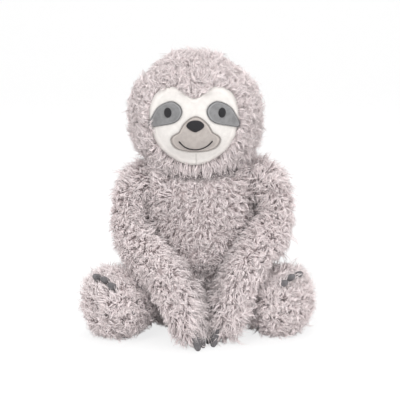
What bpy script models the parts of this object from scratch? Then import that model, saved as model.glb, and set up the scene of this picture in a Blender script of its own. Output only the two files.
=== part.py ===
"""A seated plush sloth: stuffed plush forms, a short-pile face with sewn patches, and felt claws.

Lengths are in metres and +Z is up. The toy faces -Y and its own left is +X. The origin is the middle of
its flat seat, on the surface that it sits on.
"""
import math

import bmesh
import bpy
from mathutils import Matrix, Vector

# Fabric and fit
PLUSH_THICKNESS = 0.006  # backing and the dense part of the pile
FIT_GAP = 0.0003  # between pieces that touch
FLOOR_CUT = 0.0005  # how deep a form that rests on the floor is cut flat
OVERRUN = 0.020  # how far a cutter runs past what it cuts
WELD = 0.000001  # corners nearer than this are one

# Body
BODY_HEIGHT = 0.196  # to the tip of the uncut form, inside the head
BODY_HALF_WIDTH = 0.061
BODY_HALF_DEPTH = 0.060
BODY_BACKSET = 0.005  # how far the seat lies behind the neck
BODY_LEAN = -0.004  # how far the neck stands to one side of the seat

# Height, half width and half depth of each ring, then its backset and its lean.
BODY_RING_SHARES = (
    (1.00, 0.00, 0.00, -0.6, 1.0),
    (0.96, 0.48, 0.46, -0.6, 1.0),
    (0.88, 0.78, 0.72, -0.4, 0.8),
    (0.76, 0.85, 0.80, -0.2, 0.5),
    (0.62, 0.88, 0.85, 0.0, 0.2),
    (0.46, 0.94, 0.94, 0.4, 0.0),
    (0.29, 1.00, 1.01, 0.8, 0.0),
    (0.14, 1.00, 1.00, 1.0, 0.0),
    (0.03, 0.90, 0.90, 1.0, 0.0),
    (0.00, 0.76, 0.76, 1.0, 0.0),
    (0.00, 0.38, 0.38, 1.0, 0.0),
    (0.00, 0.00, 0.00, 1.0, 0.0),
)

# Bag of pellets that weighs the seat down
BAG_HALF_WIDTH = 0.037
BAG_HALF_DEPTH = 0.035
BAG_HEIGHT = 0.024
BAG_RING_SHARES = (
    (1.00, 0.00),
    (0.96, 0.50),
    (0.72, 0.88),
    (0.35, 1.00),
    (0.00, 0.94),
    (0.00, 0.50),
    (0.00, 0.00),
)
BAG_BASE_RINGS = 3

# Head
HEAD_CENTRE = Vector((-0.0065, -0.005, 0.2165))
HEAD_HALF_WIDTH = 0.066
HEAD_HALF_DEPTH = 0.057
HEAD_HALF_HEIGHT = 0.058
MUZZLE_SWELL = 0.005  # how far the muzzle stands out of the round of the head
MUZZLE_REACH = 0.030  # how far from its middle the swelling fades
MUZZLE_DROP = 0.016  # how far its middle lies below the head's

# Height and half width of each ring, from the crown down. The cheeks are fuller than the brow.
HEAD_RING_SHARES = (
    (1.000, 0.000),
    (0.951, 0.309),
    (0.809, 0.588),
    (0.588, 0.809),
    (0.309, 0.951),
    (0.000, 1.000),
    (-0.309, 0.985),
    (-0.588, 0.900),
    (-0.809, 0.720),
    (-0.951, 0.430),
    (-1.000, 0.000),
)

# Neck seam, where head and body are sewn together
NECK_CENTRE = Vector((-0.005, 0.001, 0.172))
NECK_TILT = math.radians(8)  # the seam is lower under the chin

# Face
FACE_HALF_WIDTH = 0.043
FACE_HALF_HEIGHT = 0.039
FACE_DROP = 0.008  # its middle below the head's
FACE_ASIDE = 0.001  # the head is turned by a hair to its left
FACE_PANEL_THICKNESS = 0.0025
PATCH_THICKNESS = 0.0008
STITCH_THICKNESS = 0.0006
NOSE_THICKNESS = 0.0014
EYE_HALF_WIDTH = 0.0034
EYE_HALF_HEIGHT = 0.0045
EYE_ROUND_STEPS = 12

# Outlines on the face, in shares of its half width and half height. A half outline is mirrored.
FACE_HALF_SHARES = (
    (0.00, 0.67),
    (0.13, 0.72),
    (0.27, 0.86),
    (0.46, 0.97),
    (0.66, 0.95),
    (0.85, 0.79),
    (0.97, 0.50),
    (1.00, 0.25),
    (0.975, -0.02),
    (0.91, -0.30),
    (0.74, -0.61),
    (0.465, -0.87),
    (0.16, -1.00),
    (0.00, -1.01),
)
PATCH_SHARES = (
    (0.45, 0.63),
    (0.29, 0.53),
    (0.24, 0.39),
    (0.29, 0.24),
    (0.38, 0.12),
    (0.51, 0.06),
    (0.70, 0.00),
    (0.92, -0.07),
    (0.95, 0.02),
    (0.90, 0.19),
    (0.79, 0.42),
    (0.64, 0.56),
)
EYE_PLACE_SHARE = (0.595, 0.338)
MUZZLE_HALF_SHARES = (
    (0.00, 0.270),
    (0.13, 0.215),
    (0.24, 0.100),
    (0.31, -0.030),
    (0.41, -0.165),
    (0.54, -0.290),
    (0.54, -0.450),
    (0.40, -0.600),
    (0.20, -0.650),
    (0.00, -0.660),
)
NOSE_HALF_SHARES = (
    (0.00, 0.165),
    (0.10, 0.155),
    (0.18, 0.100),
    (0.205, 0.035),
    (0.17, -0.040),
    (0.10, -0.095),
    (0.00, -0.123),
)
SMILE_HALF_SHARES = (
    (0.00, -0.578),
    (0.13, -0.560),
    (0.25, -0.495),
    (0.36, -0.355),
    (0.385, -0.370),
    (0.27, -0.520),
    (0.14, -0.595),
    (0.00, -0.612),
)

# Arms: the shoulder's seat, the elbow and the hand, one value a side
SHOULDER_OUT = {"right": 0.056, "left": 0.057}
SHOULDER_HEIGHT = {"right": 0.149, "left": 0.150}
ELBOW_OUT = {"right": 0.071, "left": 0.076}
HAND_REACH = {"right": 0.0905, "left": 0.078}
HANDS_MEET = 0.004  # the plane where the hands lie together, to the left of the middle
ARM_RADIUS = 0.020
SHOULDER_RADIUS = 0.0215
ARM_RAISE = math.radians(75)  # how far the shoulder turns
HEAD_CLEARANCE = 0.0025  # between the shoulders and the head, which turns above them
TURN_CLEARANCE = 0.0008  # between the root of an arm and what it turns past

# Places out, forward and up, in shares of the elbow, hand and shoulder sizes, and a share of the radius.
ARM_PATH_SHARES = {
    "right": (
        (0.510, 0.000, 1.000, 0.00),
        (0.580, 0.000, 1.000, 0.72),
        (0.760, 0.000, 0.993, 1.07),
        (0.930, 0.033, 0.913, 0.98),
        (1.000, 0.110, 0.780, 0.90),
        (0.970, 0.243, 0.651, 0.93),
        (0.845, 0.442, 0.570, 1.00),
        (0.648, 0.641, 0.510, 1.03),
        (0.437, 0.785, 0.433, 1.01),
        (0.275, 0.917, 0.309, 0.97),
        (0.204, 0.972, 0.195, 0.88),
        (0.173, 0.994, 0.067, 0.62),
        (0.169, 1.000, -0.022, 0.00),
    ),
    "left": (
        (0.487, 0.000, 1.000, 0.00),
        (0.553, 0.000, 1.000, 0.72),
        (0.724, 0.000, 0.993, 1.07),
        (0.895, 0.026, 0.920, 0.98),
        (0.993, 0.090, 0.787, 0.92),
        (0.962, 0.231, 0.707, 0.93),
        (0.845, 0.423, 0.657, 0.93),
        (0.722, 0.615, 0.582, 0.95),
        (0.556, 0.805, 0.472, 0.98),
        (0.431, 0.897, 0.352, 0.96),
        (0.309, 0.962, 0.207, 0.90),
        (0.276, 0.994, 0.080, 0.62),
        (0.270, 1.000, -0.022, 0.00),
    ),
}

# Legs: the hip's seat and the foot, one value a side
HIP_OUT = {"right": 0.054, "left": 0.054}
HIP_FORWARD = {"right": 0.020, "left": 0.017}
HIP_HEIGHT = 0.031
HIP_RADIUS = 0.0235
FOOT_OUT = {"right": 0.084, "left": 0.0785}
FOOT_FORWARD = {"right": 0.053, "left": 0.044}
FOOT_RADIUS = 0.0335
FOOT_HALF_THICKNESS = 0.025

# Shares of the way from hip to foot, of the foot's half thickness past that, and of its radius.
LEG_RING_SHARES = (
    (0.00, -0.88, 0.00),
    (0.00, -0.66, 0.48),
    (0.00, -0.10, 0.71),
    (0.40, -0.20, 0.71),
    (1.00, -0.98, 0.84),
    (1.00, -0.40, 1.04),
    (1.00, 0.30, 1.04),
    (1.00, 0.80, 0.76),
    (1.00, 1.00, 0.00),
)

# Felt claws, three on each paw
CLAW_HALF_WIDTH = 0.0038
CLAW_HALF_THICKNESS = 0.0023
CLAW_HALF_LENGTH = 0.0085
CLAW_PROUD = 0.0035  # its middle beyond the plush that it is sewn into
FOOT_CLAW_RISE = math.radians(60)  # from the middle of the sole towards its rim
FOOT_CLAW_TURN = math.radians(14)  # the middle claw from straight up, inwards
FOOT_CLAW_POINT = math.radians(28)  # which way a claw points, from straight out of the sole
FOOT_CLAW_FAN = math.radians(20)
HAND_CLAW_FAN = math.radians(44)
HAND_CLAW_TURN = math.radians(5)  # the middle claw from straight inwards, forwards
HAND_CLAW_LEAN = math.radians(20)  # from straight down, away from the hand
CLAW_RING_SHARES = (
    (1.00, 0.00),
    (0.80, 0.62),
    (0.30, 1.00),
    (-0.40, 0.95),
    (-0.85, 0.60),
    (-1.00, 0.00),
)

BIG_FORM_SIDES = 12
INNER_FORM_SIDES = 8
LIMB_FORM_SIDES = 8
INNER_LIMB_SIDES = 6
CLAW_FORM_SIDES = 10
BALL_SIDES = 24
SWEEP_STEPS = 3
SIDES = {"right": -1, "left": 1}
CLAW_NAMES = ("outer", "middle", "inner")
END_RINGS = 2  # a limb rounds off over this many rings

PLUSH = ((0.66, 0.59, 0.59), 0.95)
SOFT_WHITE = ((0.86, 0.84, 0.80), 0.9)
PATCH_GREY = ((0.26, 0.26, 0.26), 0.9)
MUZZLE_TAUPE = ((0.50, 0.44, 0.39), 0.9)
STITCH_BLACK = ((0.03, 0.03, 0.035), 0.6)
CLAW_GREY = ((0.13, 0.125, 0.13), 0.95)
FIBRE_FILL = ((0.88, 0.88, 0.88), 0.9)
BAG_CLOTH = ((0.75, 0.73, 0.68), 0.8)


def clear_scene():
    for thing in list(bpy.data.objects):
        bpy.data.objects.remove(thing)


def new_collection(name):
    collection = bpy.data.collections.new(name)
    bpy.context.scene.collection.children.link(collection)
    return collection


def finish_of(name, look):
    colour, roughness = look
    material = bpy.data.materials.new(name + "_finish")
    material.use_nodes = True
    shader = material.node_tree.nodes["Principled BSDF"]
    shader.inputs["Base Color"].default_value = (*colour, 1)
    shader.inputs["Roughness"].default_value = roughness
    shader.inputs["Metallic"].default_value = 0
    return material


def place(mesh, name, pivot, look):
    """A part whose origin is at its pivot, or a cutter if it has no look."""
    mesh.transform(Matrix.Translation(-pivot))
    thing = bpy.data.objects.new(name, mesh)
    thing.location = pivot
    if look is None:
        cutters.objects.link(thing)
        thing.hide_render = True
        thing.display_type = "WIRE"
    else:
        parts.objects.link(thing)
        mesh.materials.append(finish_of(name, look))
    return thing


def cut(thing, tool, operation="DIFFERENCE"):
    modifier = thing.modifiers.new(tool.name, "BOOLEAN")
    modifier.operation = operation
    modifier.object = tool


def smooth(thing, levels=1):
    modifier = thing.modifiers.new("stuffing", "SUBSURF")
    modifier.levels = levels
    modifier.render_levels = levels
    faceted = thing.modifiers.new("facets", "TRIANGULATE")
    faceted.quad_method = "FIXED"
    thing.data.shade_smooth()
    return thing


def ring_mesh(name, rings, sides):
    """A ball whose poles and rings are moved to the places given.

    Each ring is its middle, its half breadth as a vector and its half depth as a vector, whose cross
    product points back to the first pole. The cage is drawn a little larger, because subdivision
    pulls a ring of few sides inwards.
    """
    steps = len(rings) - 1
    swell = 1 / math.cos(math.pi / sides)
    cage = bmesh.new()
    bmesh.ops.create_uvsphere(cage, u_segments=sides, v_segments=steps, radius=1)
    for vertex in cage.verts:
        fall = math.acos(max(-1.0, min(1.0, vertex.co.z)))
        middle, breadth, depth = rings[round(fall * steps / math.pi)]
        turn = math.atan2(vertex.co.y, vertex.co.x)
        vertex.co = middle + swell * (breadth * math.cos(turn) + depth * math.sin(turn))
    mesh = bpy.data.meshes.new(name)
    cage.to_mesh(mesh)
    cage.free()
    return mesh


def body_mesh(name, inset):
    rings = []
    low = -FLOOR_CUT + inset
    rise = BODY_HEIGHT - inset - low
    for height, width, depth, backset, lean in BODY_RING_SHARES:
        middle = Vector((lean * BODY_LEAN, backset * BODY_BACKSET, low + height * rise))
        half_width = max(0, width * BODY_HALF_WIDTH - inset * bool(width))
        half_depth = max(0, depth * BODY_HALF_DEPTH - inset * bool(width))
        rings.append((middle, Vector((half_width, 0, 0)), Vector((0, half_depth, 0))))
    return ring_mesh(name, rings, INNER_FORM_SIDES if inset > 0 else BIG_FORM_SIDES)


def bag_mesh(name, growth, floor):
    """The pellet bag, or the pocket for it where it grows and its sides run down to another floor."""
    rest = PLUSH_THICKNESS + FIT_GAP
    places = [(rest + up * (BAG_HEIGHT + growth), wide) for up, wide in BAG_RING_SHARES]
    if floor < rest:
        places[-BAG_BASE_RINGS:] = [(rest, 1), (floor, 1), (floor, 0)]
    rings = []
    for up, width in places:
        half_width = width * (BAG_HALF_WIDTH + growth)
        half_depth = width * (BAG_HALF_DEPTH + growth)
        middle = Vector((0, BODY_BACKSET, up))
        rings.append((middle, Vector((half_width, 0, 0)), Vector((0, half_depth, 0))))
    return ring_mesh(name, rings, LIMB_FORM_SIDES)


def head_mesh(name, inset):
    rings = []
    for height, width in HEAD_RING_SHARES:
        middle = HEAD_CENTRE + Vector((0, 0, height * (HEAD_HALF_HEIGHT - inset)))
        half_width = width * (HEAD_HALF_WIDTH - inset)
        half_depth = width * (HEAD_HALF_DEPTH - inset)
        rings.append((middle, Vector((half_width, 0, 0)), Vector((0, half_depth, 0))))
    mesh = ring_mesh(name, rings, BIG_FORM_SIDES)
    for vertex in mesh.vertices:
        aside = vertex.co.x - HEAD_CENTRE.x
        above = vertex.co.z - HEAD_CENTRE.z + MUZZLE_DROP
        if vertex.co.y < HEAD_CENTRE.y:
            fade = math.exp(-(aside**2 + above**2) / MUZZLE_REACH**2)
            vertex.co.y -= MUZZLE_SWELL * fade
    return mesh


def path_rings(middles, radii, inset, upright):
    """Rings square to a path. Upright is never along it.

    An inset draws the sides in. The last ring and the pole at each end also draw back along the path,
    by as much as the round of the end asks, so that the wall stays even.
    """
    rings = []
    last = len(middles) - 1
    for number, (middle, radius) in enumerate(zip(middles, radii)):
        ahead = middles[min(number + 1, last)] - middles[max(number - 1, 0)]
        ahead.normalize()
        across = ahead.cross(upright).normalized()
        depth = across.cross(ahead)
        full = radii[min(max(number, END_RINGS), last - END_RINGS)]
        fullness = radius / full
        back = inset * math.sqrt(1 - fullness**2) * (1 if number < END_RINGS else -1)
        reach = radius - inset * fullness
        rings.append((middle + back * ahead, across * reach, depth * reach))
    return rings


def arm_point(side, out, forward, up):
    x = SIDES[side] * out * ELBOW_OUT[side]
    return Vector((x, -forward * HAND_REACH[side], up * SHOULDER_HEIGHT[side]))


def arm_mesh(name, side, inset):
    middles = []
    radii = []
    for out, forward, up, girth in ARM_PATH_SHARES[side]:
        middles.append(arm_point(side, out, forward, up))
        radii.append(girth * ARM_RADIUS)
    rings = path_rings(middles, radii, inset, Vector((0, 1, 0)))
    return ring_mesh(name, rings, LIMB_FORM_SIDES)


def leg_line(side):
    """The hip's middle, the foot's middle and the way from one to the other."""
    hip = Vector((SIDES[side] * HIP_OUT[side], -HIP_FORWARD[side], HIP_HEIGHT))
    foot = Vector((SIDES[side] * FOOT_OUT[side], -FOOT_FORWARD[side], FOOT_RADIUS - FLOOR_CUT))
    return hip, foot, (foot - hip).normalized()


def leg_mesh(name, side, inset):
    hip, foot, ahead = leg_line(side)
    middles = []
    radii = []
    for way, past, girth in LEG_RING_SHARES:
        middles.append(hip.lerp(foot, way) + past * FOOT_HALF_THICKNESS * ahead)
        radii.append(girth * FOOT_RADIUS)
    rings = path_rings(middles, radii, inset, Vector((0, 0, 1)))
    return ring_mesh(name, rings, INNER_LIMB_SIDES if inset > 0 else LIMB_FORM_SIDES)


def form(mesh_maker, name, pivot, look, *details):
    return smooth(place(mesh_maker(name, *details), name, pivot, look))


def ball_cutter(name, middle, radius):
    ball = bmesh.new()
    bmesh.ops.create_uvsphere(ball, u_segments=BALL_SIDES, v_segments=BALL_SIDES // 2, radius=radius)
    mesh = bpy.data.meshes.new(name)
    ball.to_mesh(mesh)
    ball.free()
    mesh.transform(Matrix.Translation(middle))
    return place(mesh, name, middle, None)


def half_space(name, point, normal, reach):
    """A box that fills all on the side of a plane that its normal points to."""
    box = bmesh.new()
    bmesh.ops.create_cube(box, size=2 * reach)
    mesh = bpy.data.meshes.new(name)
    box.to_mesh(mesh)
    box.free()
    turn = Vector((0, 0, 1)).rotation_difference(normal).to_matrix().to_4x4()
    mesh.transform(Matrix.Translation(point + reach * normal) @ turn)
    return place(mesh, name, point, None)


def face_point(share):
    return Vector((share[0] * FACE_HALF_WIDTH, share[1] * FACE_HALF_HEIGHT))


def mirrored(half):
    """A whole outline from its half, which starts and ends on the middle line."""
    return [face_point(share) for share in half] + [
        face_point((-share[0], share[1])) for share in reversed(half[1:-1])
    ]


def outline_cutter(name, points, growth):
    """A flat outline on the face, drawn as a curve and run back to the middle of the head."""
    curve = bpy.data.curves.new(name, "CURVE")
    curve.dimensions = "2D"
    curve.fill_mode = "BOTH"
    curve.resolution_u = 2
    depth = HEAD_HALF_DEPTH + OVERRUN
    curve.extrude = depth / 2
    spline = curve.splines.new("BEZIER")
    spline.bezier_points.add(len(points) - 1)
    for knot, point in zip(spline.bezier_points, points):
        knot.co = (*(point + growth * point.normalized()), 0)
        knot.handle_left_type = "AUTO"
        knot.handle_right_type = "AUTO"
    spline.use_cyclic_u = True
    outline = bpy.data.objects.new(name + "_outline", curve)
    cutters.objects.link(outline)
    outline.location = HEAD_CENTRE + Vector((FACE_ASIDE, -depth / 2, -FACE_DROP))
    outline.rotation_euler = (math.radians(90), 0, 0)
    bpy.context.view_layer.update()
    drawn = outline.evaluated_get(bpy.context.evaluated_depsgraph_get())
    mesh = bpy.data.meshes.new_from_object(drawn)
    mesh.transform(outline.matrix_world)
    bpy.data.objects.remove(outline)
    solid = bmesh.new()
    solid.from_mesh(mesh)
    bmesh.ops.remove_doubles(solid, verts=solid.verts, dist=WELD)
    bmesh.ops.recalc_face_normals(solid, faces=solid.faces)
    solid.to_mesh(mesh)
    solid.free()
    return place(mesh, name, HEAD_CENTRE, None)


def make_cutters():
    """The planes, seats and inner walls that the pieces are cut with, by name."""
    tools = {}
    reach = BODY_HEIGHT + HEAD_HALF_HEIGHT
    down = Vector((0, 0, -1))
    neck_up = Vector((0, -math.sin(NECK_TILT), math.cos(NECK_TILT)))
    half_gap = FIT_GAP / 2 * neck_up
    tools["floor"] = half_space("below_floor", Vector(), down, reach)
    tools["above_neck"] = half_space("above_neck", NECK_CENTRE - half_gap, neck_up, reach)
    tools["below_neck"] = half_space("below_neck", NECK_CENTRE + half_gap, -neck_up, reach)
    tools["body_inside"] = form(body_mesh, "body_inside", NECK_CENTRE, None, PLUSH_THICKNESS)
    tools["head_inside"] = form(head_mesh, "head_inside", HEAD_CENTRE, None, PLUSH_THICKNESS)
    tools["body_guide"] = form(body_mesh, "body_guide", NECK_CENTRE, None, -FIT_GAP)
    for side, sign in SIDES.items():
        shoulder = shoulder_of(side)
        hip, foot, ahead = leg_line(side)
        tools["shoulder_seat", side] = ball_cutter(
            f"shoulder_seat_{side}", shoulder, SHOULDER_RADIUS + FIT_GAP
        )
        tools["hip_seat", side] = ball_cutter(f"hip_seat_{side}", hip, HIP_RADIUS + FIT_GAP)
        for joint, middle, radius in (
            ("shoulder", shoulder, SHOULDER_RADIUS),
            ("hip", hip, HIP_RADIUS),
        ):
            ball = ball_cutter(f"{joint}_ball_{side}", middle, radius)
            cut(tools["body_guide"], ball)
            tools[joint + "_ball", side] = ball
        inwards = Vector((-sign, 0, 0))
        meeting = Vector((HANDS_MEET, 0, 0)) - FIT_GAP / 2 * inwards
        tools["middle", side] = half_space(f"past_middle_{side}", meeting, inwards, reach)
        tools["leg_mouth", side] = half_space(
            f"leg_mouth_{side}", hip - HIP_RADIUS / 2 * ahead, -ahead, HIP_RADIUS + FIT_GAP
        )
        tools["arm_guide", side] = form(
            arm_mesh, f"arm_guide_{side}", shoulder, None, side, -FIT_GAP
        )
        tools["leg_guide", side] = form(leg_mesh, f"leg_guide_{side}", hip, None, side, -FIT_GAP)
        tools["leg_inside", side] = form(
            leg_mesh, f"leg_inside_{side}", hip, None, side, PLUSH_THICKNESS
        )
    return tools


def shoulder_of(side):
    return Vector((SIDES[side] * SHOULDER_OUT[side], 0, SHOULDER_HEIGHT[side]))


def swept(name, mesh_maker, middle, clearance, pivot):
    """The space that a form takes up from an arm's side, as the arm is raised about its pivot."""
    whole = form(mesh_maker, name, middle, None, -clearance)
    for step in range(1, SWEEP_STEPS + 1):
        copy = form(mesh_maker, f"{name}_{step}", middle, None, -clearance)
        turn = Matrix.Rotation(ARM_RAISE * step / SWEEP_STEPS, 4, "X")
        centred = Matrix.Translation(pivot) @ turn @ Matrix.Translation(-pivot)
        copy.matrix_world = centred @ Matrix.Translation(middle)
        cut(whole, copy, "UNION")
    return whole


def make_body(tools):
    cover = form(body_mesh, "body_cover", NECK_CENTRE, PLUSH, 0)
    filling = form(
        body_mesh, "body_filling", NECK_CENTRE, FIBRE_FILL, PLUSH_THICKNESS + FIT_GAP
    )
    cut(cover, tools["floor"])
    cut(cover, tools["body_inside"])
    for piece in (cover, filling):
        cut(piece, tools["above_neck"])
        for side in SIDES:
            cut(piece, tools["shoulder_seat", side])
            cut(piece, tools["hip_seat", side])
    rest = PLUSH_THICKNESS + FIT_GAP
    form(bag_mesh, "pellet_bag", Vector((0, BODY_BACKSET, rest)), BAG_CLOTH, 0, rest)
    pocket = form(
        bag_mesh, "bag_pocket", Vector((0, BODY_BACKSET, rest)), None, FIT_GAP, -OVERRUN
    )
    cut(filling, pocket)


def make_head(tools, openings):
    cover = form(head_mesh, "head_cover", HEAD_CENTRE, PLUSH, 0)
    filling = form(
        head_mesh, "head_filling", HEAD_CENTRE, FIBRE_FILL, PLUSH_THICKNESS + FIT_GAP
    )
    cut(cover, tools["below_neck"])
    cut(cover, tools["head_inside"])
    cut(cover, openings["face"])
    cut(filling, tools["below_neck"])


def face_layer(name, outline, look, depth, thickness):
    """A piece that follows the round of the face, whose back lies at this depth in the head."""
    layer = form(head_mesh, name, HEAD_CENTRE, look, depth - thickness)
    back = form(head_mesh, name + "_back", HEAD_CENTRE, None, depth)
    cut(layer, outline, "INTERSECT")
    cut(layer, back)


def make_face():
    """The panel, the patches on it and the stitched features on those, each a gap above the last."""
    patch_depth = PLUSH_THICKNESS - FACE_PANEL_THICKNESS - FIT_GAP
    stitch_depth = patch_depth - PATCH_THICKNESS - FIT_GAP
    panel = outline_cutter("face_outline", mirrored(FACE_HALF_SHARES), 0)
    face_layer("face_panel", panel, SOFT_WHITE, PLUSH_THICKNESS, FACE_PANEL_THICKNESS)
    for side, sign in SIDES.items():
        points = [face_point((sign * out, up)) for out, up in PATCH_SHARES]
        patch = outline_cutter(f"eye_patch_outline_{side}", points, 0)
        face_layer(f"eye_patch_{side}", patch, PATCH_GREY, patch_depth, PATCH_THICKNESS)
        middle = face_point((sign * EYE_PLACE_SHARE[0], EYE_PLACE_SHARE[1]))
        rim = []
        for step in range(EYE_ROUND_STEPS):
            turn = math.tau * step / EYE_ROUND_STEPS
            round_place = Vector((EYE_HALF_WIDTH * math.cos(turn), EYE_HALF_HEIGHT * math.sin(turn)))
            rim.append(middle + round_place)
        eye = outline_cutter(f"eye_outline_{side}", rim, 0)
        face_layer(f"eye_{side}", eye, STITCH_BLACK, stitch_depth, STITCH_THICKNESS)
    muzzle = outline_cutter("muzzle_outline", mirrored(MUZZLE_HALF_SHARES), 0)
    face_layer("muzzle_patch", muzzle, MUZZLE_TAUPE, patch_depth, PATCH_THICKNESS)
    nose = outline_cutter("nose_outline", mirrored(NOSE_HALF_SHARES), 0)
    face_layer("nose", nose, STITCH_BLACK, stitch_depth, NOSE_THICKNESS)
    smile = outline_cutter("smile_outline", mirrored(SMILE_HALF_SHARES), 0)
    face_layer("mouth", smile, STITCH_BLACK, stitch_depth, STITCH_THICKNESS)


def make_arm(tools, side):
    shoulder = shoulder_of(side)
    arm = form(arm_mesh, f"arm_{side}", shoulder, PLUSH, side, 0)
    cut(arm, tools["floor"])
    cut(arm, tools["middle", side])
    past_body = swept(f"past_body_{side}", body_mesh, NECK_CENTRE, TURN_CLEARANCE, shoulder)
    cut(past_body, tools["shoulder_ball", side])
    past_head = swept(f"past_head_{side}", head_mesh, HEAD_CENTRE, HEAD_CLEARANCE, shoulder)
    cut(arm, past_body)
    cut(arm, past_head)


def make_leg(tools, side):
    hip = leg_line(side)[0]
    cover = form(leg_mesh, f"leg_cover_{side}", hip, PLUSH, side, 0)
    cut(cover, tools["floor"])
    cut(cover, tools["body_guide"])
    cut(cover, tools["arm_guide", side])
    cut(cover, tools["leg_inside", side])
    cut(cover, tools["leg_mouth", side])
    form(
        leg_mesh, f"leg_filling_{side}", hip, FIBRE_FILL, side, PLUSH_THICKNESS + FIT_GAP
    )


def claw_mesh(name, root, ahead, flat):
    """A rounded felt tongue from its root, with its broad side facing along flat."""
    breadth = ahead.cross(flat).normalized()
    depth = ahead.cross(breadth)
    rings = []
    for along, width in CLAW_RING_SHARES:
        middle = root + along * CLAW_HALF_LENGTH * ahead
        rings.append(
            (middle, breadth * width * CLAW_HALF_WIDTH, depth * width * CLAW_HALF_THICKNESS)
        )
    return ring_mesh(name, rings, CLAW_FORM_SIDES)


def make_foot_claws(tools, side):
    hip, foot, ahead = leg_line(side)
    outwards = Vector((0, 0, 1)).cross(ahead) * SIDES[side]
    for number, which in enumerate(CLAW_NAMES):
        lean = FOOT_CLAW_FAN * (1 - number) - FOOT_CLAW_TURN
        rim = Vector((0, 0, 1)) * math.cos(lean) + outwards * math.sin(lean)
        away = ahead * math.cos(FOOT_CLAW_RISE) + rim * math.sin(FOOT_CLAW_RISE)
        reach = FOOT_HALF_THICKNESS * math.cos(FOOT_CLAW_RISE) * math.cos(FOOT_CLAW_RISE)
        reach += FOOT_RADIUS * math.sin(FOOT_CLAW_RISE) * math.sin(FOOT_CLAW_RISE)
        forwards = ahead * math.cos(FOOT_CLAW_POINT) + rim * math.sin(FOOT_CLAW_POINT)
        root = foot + away * reach + forwards * CLAW_PROUD
        name = f"foot_claw_{which}_{side}"
        claw = place(claw_mesh(name, root, forwards, rim), name, hip, CLAW_GREY)
        cut(claw, tools["leg_guide", side])


def make_hand_claws(tools, side):
    """Claws that hang from the inner side of the hand's end, down to the floor."""
    out, forward, up, girth = ARM_PATH_SHARES[side][-END_RINGS]
    end = arm_point(side, out, forward, up)
    down = Vector((0, 0, -1))
    inwards = Vector((-SIDES[side], 0, 0))
    forwards = Vector((0, -1, 0))
    for number, which in enumerate(CLAW_NAMES):
        turn = HAND_CLAW_TURN + HAND_CLAW_FAN * (1 - number)
        away = inwards * math.cos(turn) + forwards * math.sin(turn)
        root = end + away * (ARM_RADIUS * girth)
        root.z = CLAW_HALF_LENGTH
        ahead = down * math.cos(HAND_CLAW_LEAN) + away * math.sin(HAND_CLAW_LEAN)
        name = f"hand_claw_{which}_{side}"
        claw = place(claw_mesh(name, root, ahead, away), name, shoulder_of(side), CLAW_GREY)
        cut(claw, tools["arm_guide", side])
        cut(claw, tools["middle", side])
        cut(claw, tools["floor"])


clear_scene()
parts = new_collection("plush_sloth")
cutters = new_collection("cutters")

tools = make_cutters()
openings = {"face": outline_cutter("face_opening", mirrored(FACE_HALF_SHARES), FIT_GAP)}
make_body(tools)
make_head(tools, openings)
make_face()
for side in SIDES:
    make_arm(tools, side)
    make_leg(tools, side)
    make_foot_claws(tools, side)
    make_hand_claws(tools, side)
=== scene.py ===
"""A seated plush sloth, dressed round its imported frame: skins, curly pile, a sewn face and felt claws.

Lengths are in metres and +Z is up. The toy faces -Y and its own left is +X.
"""
import math

import bpy
import numpy as np
from bpy.props import FloatProperty, FloatVectorProperty, IntProperty, PointerProperty
from mathutils import Matrix, Vector, noise
from mathutils.bvhtree import BVHTree


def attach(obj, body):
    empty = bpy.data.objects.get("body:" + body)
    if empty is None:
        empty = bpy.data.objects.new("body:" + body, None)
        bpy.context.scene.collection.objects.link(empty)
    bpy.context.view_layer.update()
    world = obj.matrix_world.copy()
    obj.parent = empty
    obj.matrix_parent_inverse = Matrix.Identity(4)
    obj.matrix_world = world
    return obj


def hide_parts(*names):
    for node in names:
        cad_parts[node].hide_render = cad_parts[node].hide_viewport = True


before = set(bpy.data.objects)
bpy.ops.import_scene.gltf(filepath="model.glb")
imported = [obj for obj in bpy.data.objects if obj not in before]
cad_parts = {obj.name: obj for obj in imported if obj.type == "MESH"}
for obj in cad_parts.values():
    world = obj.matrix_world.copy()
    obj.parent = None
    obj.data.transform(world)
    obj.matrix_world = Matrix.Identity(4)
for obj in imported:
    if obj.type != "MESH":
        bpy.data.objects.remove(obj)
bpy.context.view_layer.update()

bl_info = {
    "name": "Plush Sloth",
    "version": (1, 0, 0),
    "blender": (4, 5, 0),
    "location": "3D View > Sidebar > Sloth",
    "description": "Makes the skins, pile, face and claws of a seated plush sloth",
    "category": "Object",
}

SIDES = {"right": -1, "left": 1}
CLAW_NAMES = ("outer", "middle", "inner")
PILE_MAP = "OFBake"  # the UV map with one spot for each strand
RIM_NAME = "rim"  # on face cloth, 0 in the middle and 1 at the edge

# Skins, which lie under the pile
SKIN_DEPTH = 0.005  # below the outside of the solids
FILLING_DEPTH = 0.0063
SKIN_VOXEL = 0.003
SMOOTHING_ROUNDS = 6
WELD = 0.00001
FLOOR_LIFT = 0.0003

# Body form, as in the solid model
BODY_HEIGHT = 0.196
BODY_HALF_WIDTH = 0.061
BODY_HALF_DEPTH = 0.060
BODY_BACKSET = 0.005
BODY_LEAN = -0.004
BODY_FLOOR = -0.0005
BODY_SIDES = 12

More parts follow.
